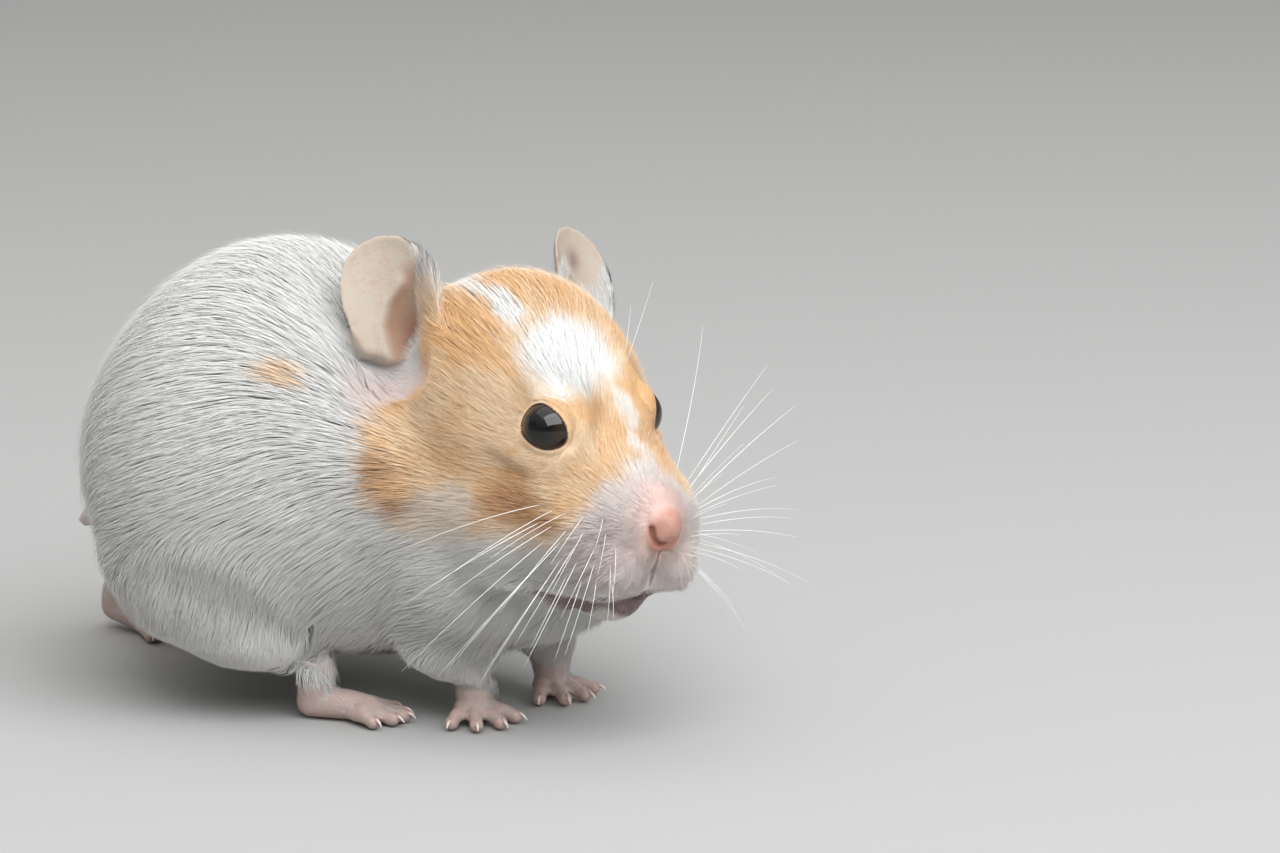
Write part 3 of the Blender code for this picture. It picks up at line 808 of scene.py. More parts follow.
def regionValues(points, owners):
    # a row of the regions table for each point, with the head graded from nose to nape
    values = np.array([regions[regionOf(name)] for name in fleshNodes])[owners]
    inHead = transformed(points, worldToHead)
    reach = np.linalg.norm(inHead - np.array(noseTip), axis=1)
    onHead = ownedBy(owners, "head", "neck")
    toHead = smoothStep(reach, 4, 16)[:, None]
    toNeck = smoothStep(reach, 27, 41)[:, None]
    graded = np.array(regions["muzzle"]) * (1 - toHead) + np.array(regions["head"]) * toHead
    graded = graded * (1 - toNeck) + np.array(regions["neck"]) * toNeck
    values[onHead] = graded[onHead]
    return values


def wristValues(values, inStance, owners):
    # the coat of each leg shortens and thins towards the foot
    onLegs = ownedBy(owners, "foreleg", "hindleg", "forefoot", "hindfoot")
    hind = ownedBy(owners, "hindleg", "hindfoot")
    share = (onLegs * smoothStep(inStance[:, 2], 12.0 + 2.5 * hind, 7.0 + 2.0 * hind))[:, None]
    values = values * (1 - share) + np.array(regions["wrist"]) * share
    share = (onLegs * smoothStep(inStance[:, 2], 6.4, 3.6))[:, None]
    values = values * (1 - share) + np.array(regions["forefoot"]) * share
    values[:, 3] *= 1 - onLegs * smoothStep(inStance[:, 2], 1.6, 0.9)
    return values


belowEars = (  # region, then middle and radii in the ear's millimetres, gain and loss of the patch
    ("short", (-0.5, -7.5, 3.5), (7.5, 7.0, 7.0), 2.2, 0.5),
    ("short", (-6.0, -4.0, -2.0), (4.0, 6.0, 3.0), 1.0, 0.0),
    ("blush", (0.2, -8.5, 2.6), (4.6, 3.8, 4.0), 1.8, 0.3),
)
noseBridge = ((14.4, midline, -7.2), (3.0, 2.0, 2.4))
nosePad = {
    "bare": ((15.3, midline, -11.8), (3.2, 2.9, 3.2)),
    "tinted": ((15.2, midline, -11.8), (3.4, 3.1, 3.5)),
}
# height on the near ear, and how far forward on it the hair begins there
frontEdge = ((-9, -4, 0.8, 5, 8.7), (2.2, 2.0, 2.8, 4.0, 2.9))
# hair before the foot of each ear: its middle and radii, and where it points
webs = (((-18.4, -9.2, 15.2), (3.2, 2.8, 3.2)), ((-17.8, 10.6, 13.4), (2.6, 2.2, 3.0)))
earEdges = ((-22.4, -13.6, 21.0), (-22.2, 13.2, 21.0))


def faceValues(values, inHead, onEar):
    # the small regions of the face, each put in with a soft edge
    def put(region, share):
        share = share[:, None]
        return values * (1 - share) + np.array(regions[region]) * share

    for side in eyeFrames:
        outside, distance, _ = lidsAt(inHead, side)
        values = put("lids", smoothStep(distance, 8.0, 5.0))
        values = put("bare", smoothStep(outside, 3.2, 1.8) * (distance < 6))
    for side in earFrames:
        local = transformed(inHead, earFrames[side].inverted())
        for region, middle, radii, gain, loss in belowEars:
            values = put(region, np.clip(nearness(local, middle, radii) * gain - loss, 0, 1))
        values = put("ear", onEar[side] * smoothStep(local[:, 1], -12.5, -10.5))
    values = put("blush", nearness(inHead, *noseBridge))
    values = put("bare", smoothStep(ellipsoidReach(inHead, *nosePad["bare"]), 1.12, 0.88))
    lips = smoothStep(distanceToPair(inHead, nearLip), 6.4, 5.0)
    values = put("lip", lips * smoothStep(inHead[:, 2], -19.7, -20.3) * smoothStep(inHead[:, 0], -1.5, 1.5))
    values = put("bare", smoothStep(distanceToLine(inHead, philtrum), 0.7, 0.4))
    return values


def fringeValues(values, inHead, onEar):
    # hair that grows over the near ear's front edge, over the far one's lower half and before both
    x, y, _ = transformed(inHead, earFrames["right"].inverted()).T
    near = onEar["right"] * smoothStep(x - np.interp(y, *frontEdge), 0.0, 1.2) * smoothStep(y, 9.4, 7.0)
    x, y, _ = transformed(inHead, earFrames["left"].inverted()).T
    edge = smoothStep(-x, 3.6, 5.6) * smoothStep(y, 5.5, 2.0)
    far = onEar["left"] * np.maximum(smoothStep(y, 1.6, -1.0), edge)
    web = np.maximum(nearness(inHead, *webs[0]), nearness(inHead, *webs[1]))
    for region, share in (("fringe", np.maximum(near, far)), ("web", web)):
        values = values * (1 - share[:, None]) + np.array(regions[region]) * share[:, None]
    return values


limbFlow = {
    ("foreleg", "hindleg"): (-0.25, 0.0, -1.0),
    ("forefoot", "hindfoot"): (0.8, 0.0, -0.5),
    ("tail",): (-1.0, 0.0, -0.4),
}


def flowOf(points, owners):
    # the lie of the coat: back from the nose, along the trunk and down the rump and legs
    inHead = transformed(points, worldToHead)
    fromNose = unit(inHead - np.array(noseTip)) @ headTurn.T
    inStance = transformed(points, worldToStance)
    rump = smoothStep(inStance[:, 0], -42, -58)[:, None]
    flow = (1 - rump) * np.array((-1.0, 0.0, -0.42)) + rump * np.array((-0.35, 0.0, -1.0))
    onHead = ownedBy(owners, "head", "lower", "nose")
    flow[onHead] = fromNose[onHead]
    onNeck = ownedBy(owners, "neck")
    flow[onNeck] = unit(0.65 * fromNose[onNeck] + 0.35 * flow[onNeck])
    for names, lie in limbFlow.items():
        flow[ownedBy(owners, *names)] = lie
    for side in earFrames:
        up = np.array(headPlace.to_3x3() @ earFrames[side].to_3x3() @ Vector((0.25, 1, 0)))
        flow[ownedBy(owners, "ear_" + side)] = up
    return flow


def leaningOnEars(flow, inHead):
    # the hair before each ear climbs towards the ear's front edge
    for (middle, _), edge in zip(webs, earEdges):
        toEdge = unit(np.array(edge) - inHead) @ headTurn.T
        share = nearness(inHead, middle, (4.0, 3.4, 4.4))[:, None]
        flow = flow * (1 - share) + toEdge * share
    return flow


def partedBelowNose(flow, inHead):
    # the hair of the upper lip leans away from the cleft in its middle
    share = np.exp(-((distanceToLine(inHead, philtrum) / 1.8) ** 2)) * np.sign(inHead[:, 1] - midline)
    return flow + headTurn[:, 1] * (0.8 * share)[:, None]


def partedRoundEyes(flow, inHead):
    # the hair parts before each eye and passes round its lids, so that none lies over it
    for matrix in eyeFrames.values():
        away = (inHead - np.array(matrix.translation)) @ headTurn.T
        share = smoothStep(np.linalg.norm(away, axis=1, keepdims=True), 7.0, 4.2)
        gaze = np.array(matrix)[:3, 2] @ headTurn.T
        outward = tangential(away, gaze)
        around = np.cross(gaze, outward)
        around *= np.where((around * flow).sum(axis=1) < 0, -1, 1)[:, None]
        inward = np.clip(-(flow * outward).sum(axis=1, keepdims=True), 0, 2)
        flow = flow + (outward * (inward + 0.3) + around * inward * 0.9) * share
    return flow


def carveFace(inHead, normals, onEars):
    for line, depth, width in grooves:
        inHead = inHead - normals * (depth * np.exp(-((distanceToLine(inHead, line) / width) ** 2)))[:, None]
    for middle, radii, rise in swellings:
        inHead = inHead + normals * (rise * nearness(inHead, middle, radii) * (1 - onEars))[:, None]
    share = smoothStep(inHead[:, 2], jaw["below"] + 0.3, jaw["below"] - 0.7)
    share *= smoothStep(inHead[:, 0], jaw["from"], jaw["to"]) * (np.abs(inHead[:, 1]) < 12)
    inHead = inHead.copy()
    inHead[:, 0] -= jaw["back"] * share
    inHead[:, 1] -= jaw["in"] * share * np.clip((inHead[:, 1] - midline) / 5, -1, 1)
    return inHead


def carveLids(inHead):
    radius = eyeShape["radius"]
    for side in eyeFrames:
        outside, distance, local = lidsAt(inHead, side)
        near = (distance < 8) & (local[:, 2] > -radius)
        shell = radius + eyeShape["rim"] + (eyeShape["lid"] - eyeShape["rim"]) * smoothStep(outside, 0, 9)
        settled = smoothStep(outside, 3, eyeShape["slope"])
        wanted = shell * (1 - settled) + np.maximum(distance, radius + 0.3) * settled
        wanted = np.where(outside < 0, radius - 0.6 * smoothStep(outside, 0, -5), wanted)
        wanted = np.where(near, wanted, distance)
        inHead = inHead + unit(local) @ np.array(eyeFrames[side])[:3, :3].T * (wanted - distance)[:, None]
    return inHead


def carveEars(inHead, onEar, edges):
    for side in earFrames:
        chosen = onEar[side]
        x, y, _ = transformed(inHead, earFrames[side].inverted()).T
        (middleX, middleY), (radiusX, radiusY) = earShape["bowlMiddle"], earShape["bowlRadii"]
        bowl = np.exp(-(((x - middleX) / radiusX) ** 2) - ((y - middleY) / radiusY) ** 2)
        if side == "left":
            bowl *= smoothStep(y, -6.2, -2.8)  # its lobe is too thin for a hollow
        rim = smoothStep(np.hypot(x / (earShape["width"] / 2), y / (earShape["height"] / 2)), 0.78, 1.0)
        toRidge = distanceToLine(np.stack([x, y, 0 * x], 1), earShape["ridgeLine"])
        ridge = np.exp(-((toRidge / earShape["ridgeWidth"]) ** 2))
        forward = earShape["rim"] * rim + earShape["ridge"] * ridge - earShape["bowl"] * bowl
        _, upward, facing = np.array(earFrames[side])[:3, :3].T
        inHead = inHead + facing * (forward * chosen)[:, None]
        inHead = inHead - upward * (earShape["lobe"][side] * smoothStep(-y, 1, 9) * chosen)[:, None]
    share = smoothStep(np.maximum(onEar["right"], onEar["left"]), 0.2, 0.8)[:, None]
    return inHead * (1 - share) + spread(inHead, edges, 7) * share


skinTones = {
    "pink": (0.60, 0.40, 0.33), "foot": (0.42, 0.27, 0.225), "ear": (0.45, 0.385, 0.31),
    # the conch and hollow tones are painted shade inside the ear's cup
    "conchShade": (0.28, 0.165, 0.10), "hollow": (0.16, 0.06, 0.042), "lobe": (0.50, 0.34, 0.265),
    "spot": (0.24, 0.17, 0.155), "nose": (0.50, 0.27, 0.21), "redNose": (0.42, 0.15, 0.11),
    # nostril and cleft are painted shadow, in the nostrils and in the mouth's line and cleft
    "nostrilShadow": (0.08, 0.014, 0.011), "lip": (0.10, 0.055, 0.055), "cleft": (0.05, 0.03, 0.03),
    "lid": (0.02, 0.014, 0.012),
}


def paintSkin(inHead, normals, owners):
    # the colour of the bare skin at each point, from the forms carved above
    tint = np.tile(skinTones["pink"], (len(inHead), 1))

    def put(tone, share):
        return tint * (1 - share[:, None]) + np.array(skinTones[tone]) * share[:, None]

    # the feet's bare skin is pink, painted darker in part as painted shade
    tint = put("foot", ownedBy(owners, "forefoot", "hindfoot").astype(float))
    for side in earFrames:
        chosen = ownedBy(owners, "ear_" + side)
        x, y, _ = transformed(inHead, earFrames[side].inverted()).T
        inner = smoothStep(normals @ np.array(earFrames[side])[:3, 2], -0.2, 0.3) * chosen
        tint = put("ear", chosen.astype(float))
        # the inside of the ear's cup is painted brown, and near black in its hollow: painted shade
        conchShade = smoothStep(x - np.interp(y, (-5.2, -1.5, 1.4, 3.4), (-2.2, -2.2, -0.8, 1.6)), -0.2, 1.4)
        conchShade *= smoothStep(y, -7.5, -5.0) * smoothStep(y, 6.4, 3.6)
        tint = put("conchShade", conchShade * inner * 0.9)
        tint = put("hollow", np.exp(-(((x - 2.2) / 2.0) ** 2) - ((y + 4.0) / 2.6) ** 2) * inner)
        tint = put("lobe", smoothStep(y, -4.6, -7.0) * smoothStep(x, -3.5, 0.5) * inner)
    spot = nearness(transformed(inHead, earFrames["left"].inverted()), (-0.2, 5.4, 0.0), (1.4, 1.5, 4.0))
    tint = put("spot", spot * ownedBy(owners, "ear_left"))
    tint = put("nose", smoothStep(ellipsoidReach(inHead, *nosePad["tinted"]), 1.15, 0.8))
    for line in (nearNostril, mirrored(nearNostril)):
        tint = put("redNose", np.exp(-((distanceToLine(inHead, line) / 0.9) ** 2)) * 0.7)
        # the nostril openings are painted near black: painted shadow
        tint = put("nostrilShadow", np.exp(-((distanceToLine(inHead, line) / 0.42) ** 4)))
    # the lips are dark purplish skin, painted darker still as painted shade below the upper lip
    lips = distanceToPair(inHead, nearLip)
    tint = put("lip", smoothStep(lips, 7.4, 5.4) * smoothStep(inHead[:, 2], -19.4, -19.9))
    # the mouth's line and the cleft below the nose are painted near black: painted shadow in the grooves
    tint = put("cleft", smoothStep(lips, 0.8, 0.3))
    tint = put("cleft", smoothStep(distanceToLine(inHead, philtrum[1:]), 1.0, 0.35))
    for side in eyeFrames:
        outside, distance, _ = lidsAt(inHead, side)
        tint = put("lid", smoothStep(outside, 5.5, 3.5) * (distance < 6))
    return tint


def insetForCoat(mesh, points, values, owners, edges):
    # draws the points in by the coat's depth and lets the ankles flow into the legs
    normals = unit(spread(normalsOf(mesh), edges, 8))
    swell = skinSettings["swell"] * 0.8 * ~ownedBy(owners, "forefoot", "hindfoot")
    points = points - normals * (values[:, 0] + swell)[:, None] * mm
    points = spread(points, edges, 2)
    middle, reach = skinSettings["ankle"]
    height = transformed(points, worldToStance)[:, 2]
    legs = ownedBy(owners, "foreleg", "hindleg", "forefoot", "hindfoot")
    share = (legs * np.exp(-(((height - middle) / reach) ** 4)))[:, None]
    return points * (1 - share) + spread(points, edges, skinSettings["anklePasses"]) * share


def makeSkin():
    skin = fleshForm()
    mesh = skin.data
    points = pointsOf(mesh)
    print("skin:", len(points), "points before thinning")
    owners = nearestNodes(points)
    edges = edgesOf(mesh)
    inHead = transformed(points, worldToHead)
    onEar = {side: spread(ownedBy(owners, "ear_" + side).astype(float), edges, 8) for side in ears}
    base = spread(regionValues(points, owners), edges, skinSettings["spreading"])
    values = wristValues(faceValues(base, inHead, onEar), transformed(points, worldToStance), owners)
    points = insetForCoat(mesh, points, values, owners, edges)
    setPoints(mesh, points)
    normals = unit(spread(normalsOf(mesh), edges, 3)) @ headTurn
    inHead = carveFace(transformed(points, worldToHead), normals, np.maximum(onEar["right"], onEar["left"]))
    inHead = carveLids(carveEars(inHead, onEar, edges))
    points = transformed(inHead, headToWorld)
    setPoints(mesh, points)
    # the coat's measures and lie are read once more from the carved face
    values = fringeValues(faceValues(base, inHead, onEar), inHead, onEar)
    values = wristValues(values, transformed(points, worldToStance), owners)
    flow = partedBelowNose(spread(flowOf(points, owners), edges, skinSettings["spreading"]), inHead)
    flow = partedRoundEyes(leaningOnEars(flow, inHead), inHead)
    for names, columns in ((("flowX", "flowY", "flowZ"), flow.T), (coatMeasures, values.T)):
        for name, column in zip(names, columns):
            setAttribute(mesh, name, column)
    tint = paintSkin(inHead, normalsOf(mesh) @ headTurn, owners)
    setAttribute(mesh, "skinTint", np.concatenate([tint, np.ones((len(tint), 1))], axis=1), "FLOAT_COLOR")
    thin = skin.modifiers.new("thin", "DECIMATE")
    thin.ratio = skinSettings["triangles"] / (2 * len(mesh.polygons))
    thin.use_collapse_triangulate = True
    applyModifiers(skin)
    skin.data.shade_smooth()
    print("skin:", len(skin.data.polygons), "triangles")
    return skin


coatSettings = {
    "curvedAbove": 4.4, "sink": 0.15,  # mm: tufts longer than this are bent, roots lie this deep
    "lengthSpread": 0.25, "turnSpread": 0.11, "riseSpread": 0.14,  # how much tufts differ
    "standing": 0.05, "standingRise": 1.35,  # the share that stands out, and how far
    "clumpOf": 11, "clumping": 0.13,  # tufts in a lock, and how much they lean together
    "flatness": 0.4, "taper": 0.6, "softness": 0.88,  # of a tuft's section, its width and the light on it
    "patch": 0.003, "pieceTriangles": 190000, "guideTriangles": 9000,
}


def scatterRoots(mesh):
    points, corners = pointsOf(mesh), triangleCorners(mesh)
    a, b, c = (points[corners[:, k]] for k in range(3))
    area = np.linalg.norm(np.cross(b - a, c - a), axis=1) / 2 / mm**2
    density = attributeOf(mesh, "density")[corners].mean(axis=1)
    wanted = area * density
    counts = np.floor(wanted + random.random(len(wanted))).astype(int)
    faces = np.repeat(np.arange(len(corners)), counts)
    u, v = random.random(len(faces)), random.random(len(faces))
    flip = u + v > 1
    u[flip], v[flip] = 1 - u[flip], 1 - v[flip]
    shares = np.stack([1 - u - v, u, v], axis=1)
    return faces, shares, corners


def blended(values, corners, faces, shares):
    picked = values[corners[faces]]
    if picked.ndim == 2:
        return (picked * shares).sum(axis=1)
    return (picked * shares[:, :, None]).sum(axis=1)


def followSkin(tree, vertexNormals, vertexFlow, corners, places, flows, steps):
    # walks each place along the lie of the coat and back onto the skin
    found = [tree.find_nearest(place) for place in (places + flows * steps[:, None]).tolist()]
    ends = np.array([hit[0] for hit in found])
    faces = np.array([hit[2] for hit in found])
    normals = unit(vertexNormals[corners[faces]].mean(axis=1))
    return ends, normals, tangential(vertexFlow[corners[faces]].mean(axis=1), normals), corners[faces]


def makeTufts(skin):
    mesh = skin.data
    points, normals = pointsOf(mesh), normalsOf(mesh)
    flowField = np.stack([attributeOf(mesh, name) for name in ("flowX", "flowY", "flowZ")], axis=1)
    faces, shares, corners = scatterRoots(mesh)
    roots = blended(points, corners, faces, shares)
    rootNormals = unit(blended(normals, corners, faces, shares))
    depth, length, width = (
        blended(attributeOf(mesh, name), corners, faces, shares) for name in ("depth", "length", "width")
    )
    count = len(roots)
    length = length * (1 + coatSettings["lengthSpread"] * random.uniform(-1, 1, count)) * mm
    flows = tangential(blended(flowField, corners, faces, shares), rootNormals)
    across = np.cross(rootNormals, flows)
    turn = coatSettings["turnSpread"] * random.normal(size=count)
    flows = flows * np.cos(turn)[:, None] + across * np.sin(turn)[:, None]

    tree = surfaceOf(mesh)
    half = length * 0.5
    middle, middleNormals, middleFlow, _ = followSkin(tree, normals, flowField, corners, roots, flows, half)
    leading = unit(0.5 * flows + 0.5 * middleFlow)
    end, endNormals, _, endCorners = followSkin(tree, normals, flowField, corners, middle, leading, half)
    depth = 0.35 * depth + 0.65 * attributeOf(mesh, "depth")[endCorners].mean(axis=1)
    rise = depth * mm * (1 + coatSettings["riseSpread"] * random.uniform(-1, 1, count))
    rise *= np.where(random.random(count) < coatSettings["standing"], coatSettings["standingRise"], 1.0)
    folded = (endNormals * rootNormals).sum(axis=1) < 0.1  # a tuft that would wrap round an edge is left out
    middle = middle + middleNormals * (rise * 0.72)[:, None]
    end = end + endNormals * rise[:, None]

    # tufts lean together in locks
    leaders = np.arange(0, count, coatSettings["clumpOf"])
    finder = KDTree(len(leaders))
    for k in leaders:
        finder.insert(roots[k], int(k))
    finder.balance()
    leader = np.array([finder.find(root)[1] for root in roots.tolist()])
    pull = coatSettings["clumping"] * np.clip(depth / 2.0, 0.2, 1.0)[:, None]
    end += (end[leader] - end) * pull
    middle += (middle[leader] - middle) * pull * 0.35
    tufts = {
        "root": roots, "normal": rootNormals, "middle": middle, "end": end, "width": width * mm,
        "curved": length > coatSettings["curvedAbove"] * mm,
    }
    tufts = {key: value[~folded] for key, value in tufts.items()}
    print("coat:", len(tufts["root"]), "tufts")
    return tufts


def unwrapOf(skin):
    # a lighter copy of the skin, unwrapped, tells where on the map each root lies
    guide = addObject("unwrapGuide", skin.data.copy())
    thin = guide.modifiers.new("thin", "DECIMATE")
    thin.ratio = coatSettings["guideTriangles"] / len(guide.data.polygons)
    applyModifiers(guide)
    bpy.context.view_layer.objects.active = guide
    guide.select_set(True)
    bpy.ops.object.mode_set(mode="EDIT")
    bpy.ops.mesh.select_all(action="SELECT")
    bpy.ops.uv.smart_project(angle_limit=1.2, island_margin=0.004)
    bpy.ops.object.mode_set(mode="OBJECT")
    mesh = guide.data
    uv = arrayOf(mesh.uv_layers.active.data, "uv", 2).reshape(-1, 3, 2)
    bpy.data.objects.remove(guide)
    return mesh, uv


def mapPlaces(skin, roots):
    mesh, uv = unwrapOf(skin)
    points, corners, tree = pointsOf(mesh), triangleCorners(mesh), surfaceOf(mesh)
    found = [tree.find_nearest(root) for root in roots.tolist()]
    faces = np.array([hit[2] for hit in found])
    hits = np.array([hit[0] for hit in found])
    a, b, c = (points[corners[faces, k]] for k in range(3))
    whole = np.cross(b - a, c - a)
    size = np.maximum((whole * whole).sum(axis=1), 1e-30)
    shareB = (np.cross(hits - a, c - a) * whole).sum(axis=1) / size
    shareC = (np.cross(b - a, hits - a) * whole).sum(axis=1) / size
    shares = np.clip(np.stack([1 - shareB - shareC, shareB, shareC], axis=1), 0, 1)
    return (uv[faces] * shares[:, :, None]).sum(axis=1)


def meshFromArrays(name, points, triangles):
    mesh = bpy.data.meshes.new(name)
    mesh.vertices.add(len(points))
    mesh.vertices.foreach_set("co", points.astype(np.float32).ravel())
    mesh.loops.add(triangles.size)
    mesh.loops.foreach_set("vertex_index", triangles.astype(np.int32).ravel())
    mesh.polygons.add(len(triangles))
    mesh.polygons.foreach_set("loop_start", np.arange(0, triangles.size, 3, dtype=np.int32))
    mesh.update(calc_edges=True)
    return mesh


def strandTriangles(rings, count):
    # three-sided rings from root to tip, closed at the root and drawn to a point
    faces = [(2, 1, 0)]
    for ring in range(rings - 1):
        for side in range(3):
            a, b = 3 * ring + side, 3 * ring + (side + 1) % 3
            faces += [(a, b, a + 3), (b, b + 3, a + 3)]
    last, tip = 3 * (rings - 1), 3 * rings
    faces += [(last + side, last + (side + 1) % 3, tip) for side in range(3)]
    faces = np.array(faces)
    return (faces[None] + (np.arange(count) * (tip + 1))[:, None, None]).reshape(-1, 3)


def tuftPoints(tufts, rings):
    # three points to a ring and one at the tip, on a curve through each tuft's middle point
    start = tufts["root"] - tufts["normal"] * coatSettings["sink"] * mm
    middle, end = tufts["middle"], tufts["end"]
    bend = 2 * middle - (start + end) / 2
    along = unit(end - start)
    side = unit(np.cross(tufts["normal"], along))
    lift = np.cross(along, side)
    points = np.empty((len(start), 3 * rings + 1, 3))
    shares = np.ones(3 * rings + 1)
    patch = np.zeros((3 * rings + 1, 2))
    for ring in range(rings):
        t = ring / rings
        centre = (1 - t) ** 2 * start + 2 * t * (1 - t) * bend + t**2 * end
        radius = tufts["width"] * 0.5 * (1 - t) ** coatSettings["taper"]
        for k in range(3):
            angle = 2 * math.pi * k / 3 + math.pi / 2
            spoke = side * math.cos(angle) + lift * math.sin(angle) * coatSettings["flatness"]
            points[:, 3 * ring + k] = centre + spoke * radius[:, None]
            shares[3 * ring + k] = t
            reach = coatSettings["patch"] / 2 * (1 - t)
            patch[3 * ring + k] = (math.cos(angle) * reach, math.sin(angle) * reach)
    points[:, -1] = end
    return points, shares, patch


def makeCoatPiece(name, tufts, places, rings, material):
    points, shares, patch = tuftPoints(tufts, rings)
    count, perTuft = points.shape[:2]
    triangles = strandTriangles(rings, count)
    mesh = meshFromArrays(name, points.reshape(-1, 3), triangles)
    setAttribute(mesh, "along", np.tile(shares, count))
    setAttribute(mesh, "shade", np.repeat(random.random(count), perTuft))
    setAttribute(mesh, "root", np.repeat(tufts["root"], perTuft, axis=0), "FLOAT_VECTOR")
    uv = (places[:, None] + patch[None]).reshape(-1, 2)[triangles.ravel()]
    mesh.uv_layers.new(name="OFBake").data.foreach_set("uv", uv.astype(np.float32).ravel())
    mesh.shade_smooth()
    # the light falls on the tufts much as on the skin beneath
    under = np.repeat(tufts["normal"], perTuft, axis=0)
    soft = unit(normalsOf(mesh) * (1 - coatSettings["softness"]) + under * coatSettings["softness"])
    mesh.normals_split_custom_set_from_vertices(soft.astype(np.float32))
    mesh.materials.append(material)
    piece = addObject(name, mesh)
    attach(piece, "root")


def makeCoat(skin, material):
    tufts = makeTufts(skin)
    places = mapPlaces(skin, tufts["root"])
    total = 0
    for label, rings, wanted in (("short", 1, ~tufts["curved"]), ("long", 2, tufts["curved"])):
        order = random.permutation(np.flatnonzero(wanted))
        triangles = len(order) * (6 * rings - 2)
        pieces = math.ceil(triangles / coatSettings["pieceTriangles"])
        for k in range(pieces):
            chosen = order[k::pieces]
            share = {key: value[chosen] for key, value in tufts.items()}
            makeCoatPiece(f"coat_{label}_{k + 1}", share, places[chosen], rings, material)
        total += triangles
    print("coat:", total, "triangles")


eyeFinish = {"Roughness": 0.03, "Specular IOR Level": 0.5}
eyeTones = ((0.004, 0.0035, 0.0035), (0.035, 0.018, 0.010))  # the pupil, and the ring of the iris round it


def makeEyes():
    material, tree, shader = newMaterial("eyeGloss", eyeFinish)
    threads = noiseOf(tree, addNode(tree, "TexCoord", {}).outputs["Object"], 1500.0, 3.0)
    ring = times(tree, ramp(tree, readAttribute(tree, "iris"), 0.45, 0.75), threads)
    tree.links.new(mixed(tree, ring, *eyeTones), shader.inputs["Base Color"])
    for side in ("right", "left"):
        bm = bmesh.new()
        place = headToWorld @ eyeFrames[side]
        bmesh.ops.create_uvsphere(bm, u_segments=64, v_segments=48, radius=eyeShape["radius"], matrix=place)
        mesh = meshFrom(bm, "eyeball_" + side)
        local = transformed(pointsOf(mesh), place.inverted()) / eyeShape["radius"]
        setAttribute(mesh, "iris", np.hypot(local[:, 0], local[:, 1]))
        mesh.shade_smooth()
        mesh.materials.append(material)
        ball = addObject("eyeball_" + side, mesh)
        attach(ball, "root")
        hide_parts("eye_" + side)


whiskerRows = (  # height on the muzzle, how far forward the first root lies, degrees up on each side
    (-9.8, 11.0, -10.0, 58.0), (-11.6, 12.0, -22.0, 34.0), (-13.4, 12.8, -34.0, 12.0),
    (-15.4, 13.2, -46.0, -12.0), (-17.4, 13.0, -58.0, -38.0),
)
whiskerShape = {  # mm, and degrees from straight out to the side
    "perRow": 5, "spacing": 1.7, "segments": 12, "base": 0.13, "tip": 0.03,
    "shortest": 8.0, "longest": {"right": 22.0, "left": 28.0}, "lowestRow": 0.62, "sideways": 21.5,
    "forward": 44.0, "backward": 12.0, "unevenness": 5.0,
    "bend": 0.20, "droop": (-0.55, 0, -0.85),
    "tones": ((0.70, 0.62, 0.57), (0.92, 0.91, 0.88)),
}
browHairs = (  # place beside the midline, direction and length, of fine long hairs above and behind the eye
    ((-2.5, 6.6, 5.4), (-0.15, 0.55, 1.0), 13.0), ((-4.5, 7.4, 5.6), (-0.5, 0.6, 0.9), 10.0),
)
browRadii, browBend = (0.035, 0.012), 0.12


def strandMesh(name, curves, radii, sides=5):
    # tubes along curves, closed at both ends
    points, faces, shares = [], [], []
    for curve, (base, tip) in zip(curves, radii):
        start, last = len(points), len(curve) - 1
        for k, point in enumerate(curve):
            ahead = (curve[min(k + 1, last)] - curve[max(k - 1, 0)]).normalized()
            across = ahead.orthogonal() if k == 0 else across - ahead * across.dot(ahead)
            across.normalize()
            upward = ahead.cross(across)
            radius = base + (tip - base) * (k / last) ** 0.8
            for side in range(sides):
                angle = 2 * math.pi * side / sides
                points.append(point + (across * math.cos(angle) + upward * math.sin(angle)) * radius)
                shares.append(k / last)
        for k in range(last):
            for side in range(sides):
                a, b = start + k * sides + side, start + k * sides + (side + 1) % sides
                faces.append((a, b, b + sides, a + sides))
        faces.append(tuple(start + side for side in reversed(range(sides))))
        faces.append(tuple(start + last * sides + side for side in range(sides)))
    mesh = bpy.data.meshes.new(name)
    mesh.from_pydata(points, [], faces)
    setAttribute(mesh, "along", shares)
    mesh.shade_smooth()
    return mesh


def whiskerCurve(root, direction, length, bend):
    # an arc from the root that droops and sweeps back as it goes
    curve = []
    direction = direction.normalized()
    for k in range(whiskerShape["segments"] + 1):
        share = k / whiskerShape["segments"]
        sag = bend * length * share**2
        curve.append(headToWorld @ (root + direction * length * share + Vector(whiskerShape["droop"]) * sag))
    return curve


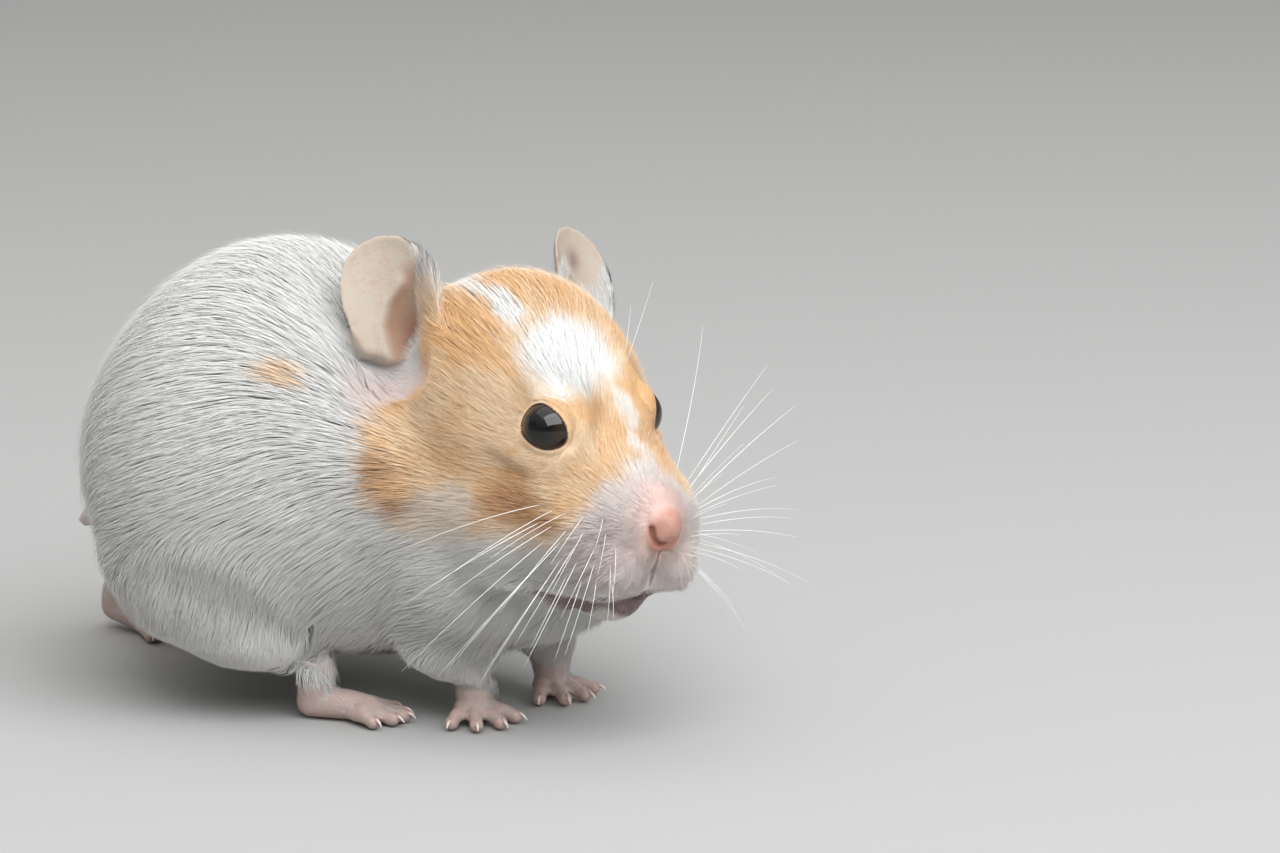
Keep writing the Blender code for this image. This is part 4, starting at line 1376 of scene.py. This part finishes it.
def whiskersOf(side, tree):
    out = -1 if side == "right" else 1
    shortest, longest = whiskerShape["shortest"], whiskerShape["longest"][side]
    uneven = whiskerShape["unevenness"]
    curves, radii = [], []
    for row, (height, ahead, *tilts) in enumerate(whiskerRows):
        tilt = tilts[side == "left"]
        for k in range(whiskerShape["perRow"]):
            share = k / (whiskerShape["perRow"] - 1)
            x = ahead - k * whiskerShape["spacing"] - 0.35 * (row % 2)
            seed = headToWorld @ Vector((x, midline + out * 12.0, height + 0.25 * k))
            inward = (headToWorld @ Vector((x - 1.0, midline, height))) - seed
            root = worldToHead @ tree.ray_cast(seed, inward)[0]
            sweep = math.radians(whiskerShape["forward"] * (1 - share) - whiskerShape["backward"] * share)
            lift = math.radians(tilt + uneven * random.uniform(-1, 1))
            sweep += math.radians(uneven * random.uniform(-1, 1))
            direction = Vector((math.sin(sweep), out * math.cos(sweep) * math.cos(lift), math.sin(lift)))
            length = shortest + (longest - shortest) * share**0.7
            length *= random.uniform(0.8, 1.05) * (whiskerShape["lowestRow"] if row == 4 else 1.0)
            length = min(length, whiskerShape["sideways"] / max(abs(direction.y), 0.3))
            curves.append(whiskerCurve(root - direction * 0.3, direction, length, whiskerShape["bend"]))
            thick = 0.75 + 0.25 * share
            radii.append((whiskerShape["base"] / 2 * thick * mm, whiskerShape["tip"] / 2 * mm))
    for root, direction, length in browHairs:
        root = Vector((root[0], out * root[1], root[2]))
        direction = Vector((direction[0], out * direction[1], direction[2]))
        hit = tree.find_nearest(headToWorld @ root)[0]
        curves.append(whiskerCurve(worldToHead @ hit, direction, length, browBend))
        radii.append((browRadii[0] * mm, browRadii[1] * mm))
    return strandMesh("whiskers_" + side, curves, radii)


def makeWhiskers(skin):
    material, tree, shader = newMaterial("whiskerHorn", {"Roughness": 0.35})
    share = ramp(tree, readAttribute(tree, "along"), 0.0, 0.3)
    tree.links.new(mixed(tree, share, *whiskerShape["tones"]), shader.inputs["Base Color"])
    surface = surfaceOf(skin.data)
    for side in ("right", "left"):
        mesh = whiskersOf(side, surface)
        mesh.materials.append(material)
        whiskers = addObject("whiskers_" + side, mesh)
        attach(whiskers, "root")


clawShape = {  # mm beyond the digit's length, and height, of points along a claw
    "line": ((0.3, 1.72), (0.85, 1.72), (1.35, 1.45), (1.75, 1.0)), "base": 0.38, "tip": 0.07,
    "tones": ((0.55, 0.34, 0.29), (0.78, 0.70, 0.62)),
}


def makeClaws():
    material, tree, shader = newMaterial("clawHorn", {"Roughness": 0.3})
    share = ramp(tree, readAttribute(tree, "along"), 0.1, 0.8)
    tree.links.new(mixed(tree, share, *clawShape["tones"]), shader.inputs["Base Color"])
    for name in feet:
        curves, radii = [], []
        for turn, length, _ in digits(name):
            curves.append([stanceToWorld @ turn @ Vector((length + x, 0, z)) for x, z in clawShape["line"]])
            radii.append((clawShape["base"] * mm, clawShape["tip"] * mm))
        mesh = strandMesh("claws_" + name, curves, radii, sides=10)
        mesh.materials.append(material)
        claws = addObject("claws_" + name, mesh)
        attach(claws, "root")


addCamera()
addLight()
addFloor()
print("stage set")
markingsGroup = buildMarkings()
skin = makeSkin()
skin.data.materials.clear()
skin.data.materials.append(skinMaterial(markingsGroup))
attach(skin, "root")
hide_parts(*fleshNodes)
makeCoat(skin, coatMaterial(markingsGroup))
makeEyes()
makeWhiskers(skin)
makeClaws()
print("whiskers, eyes and claws made")
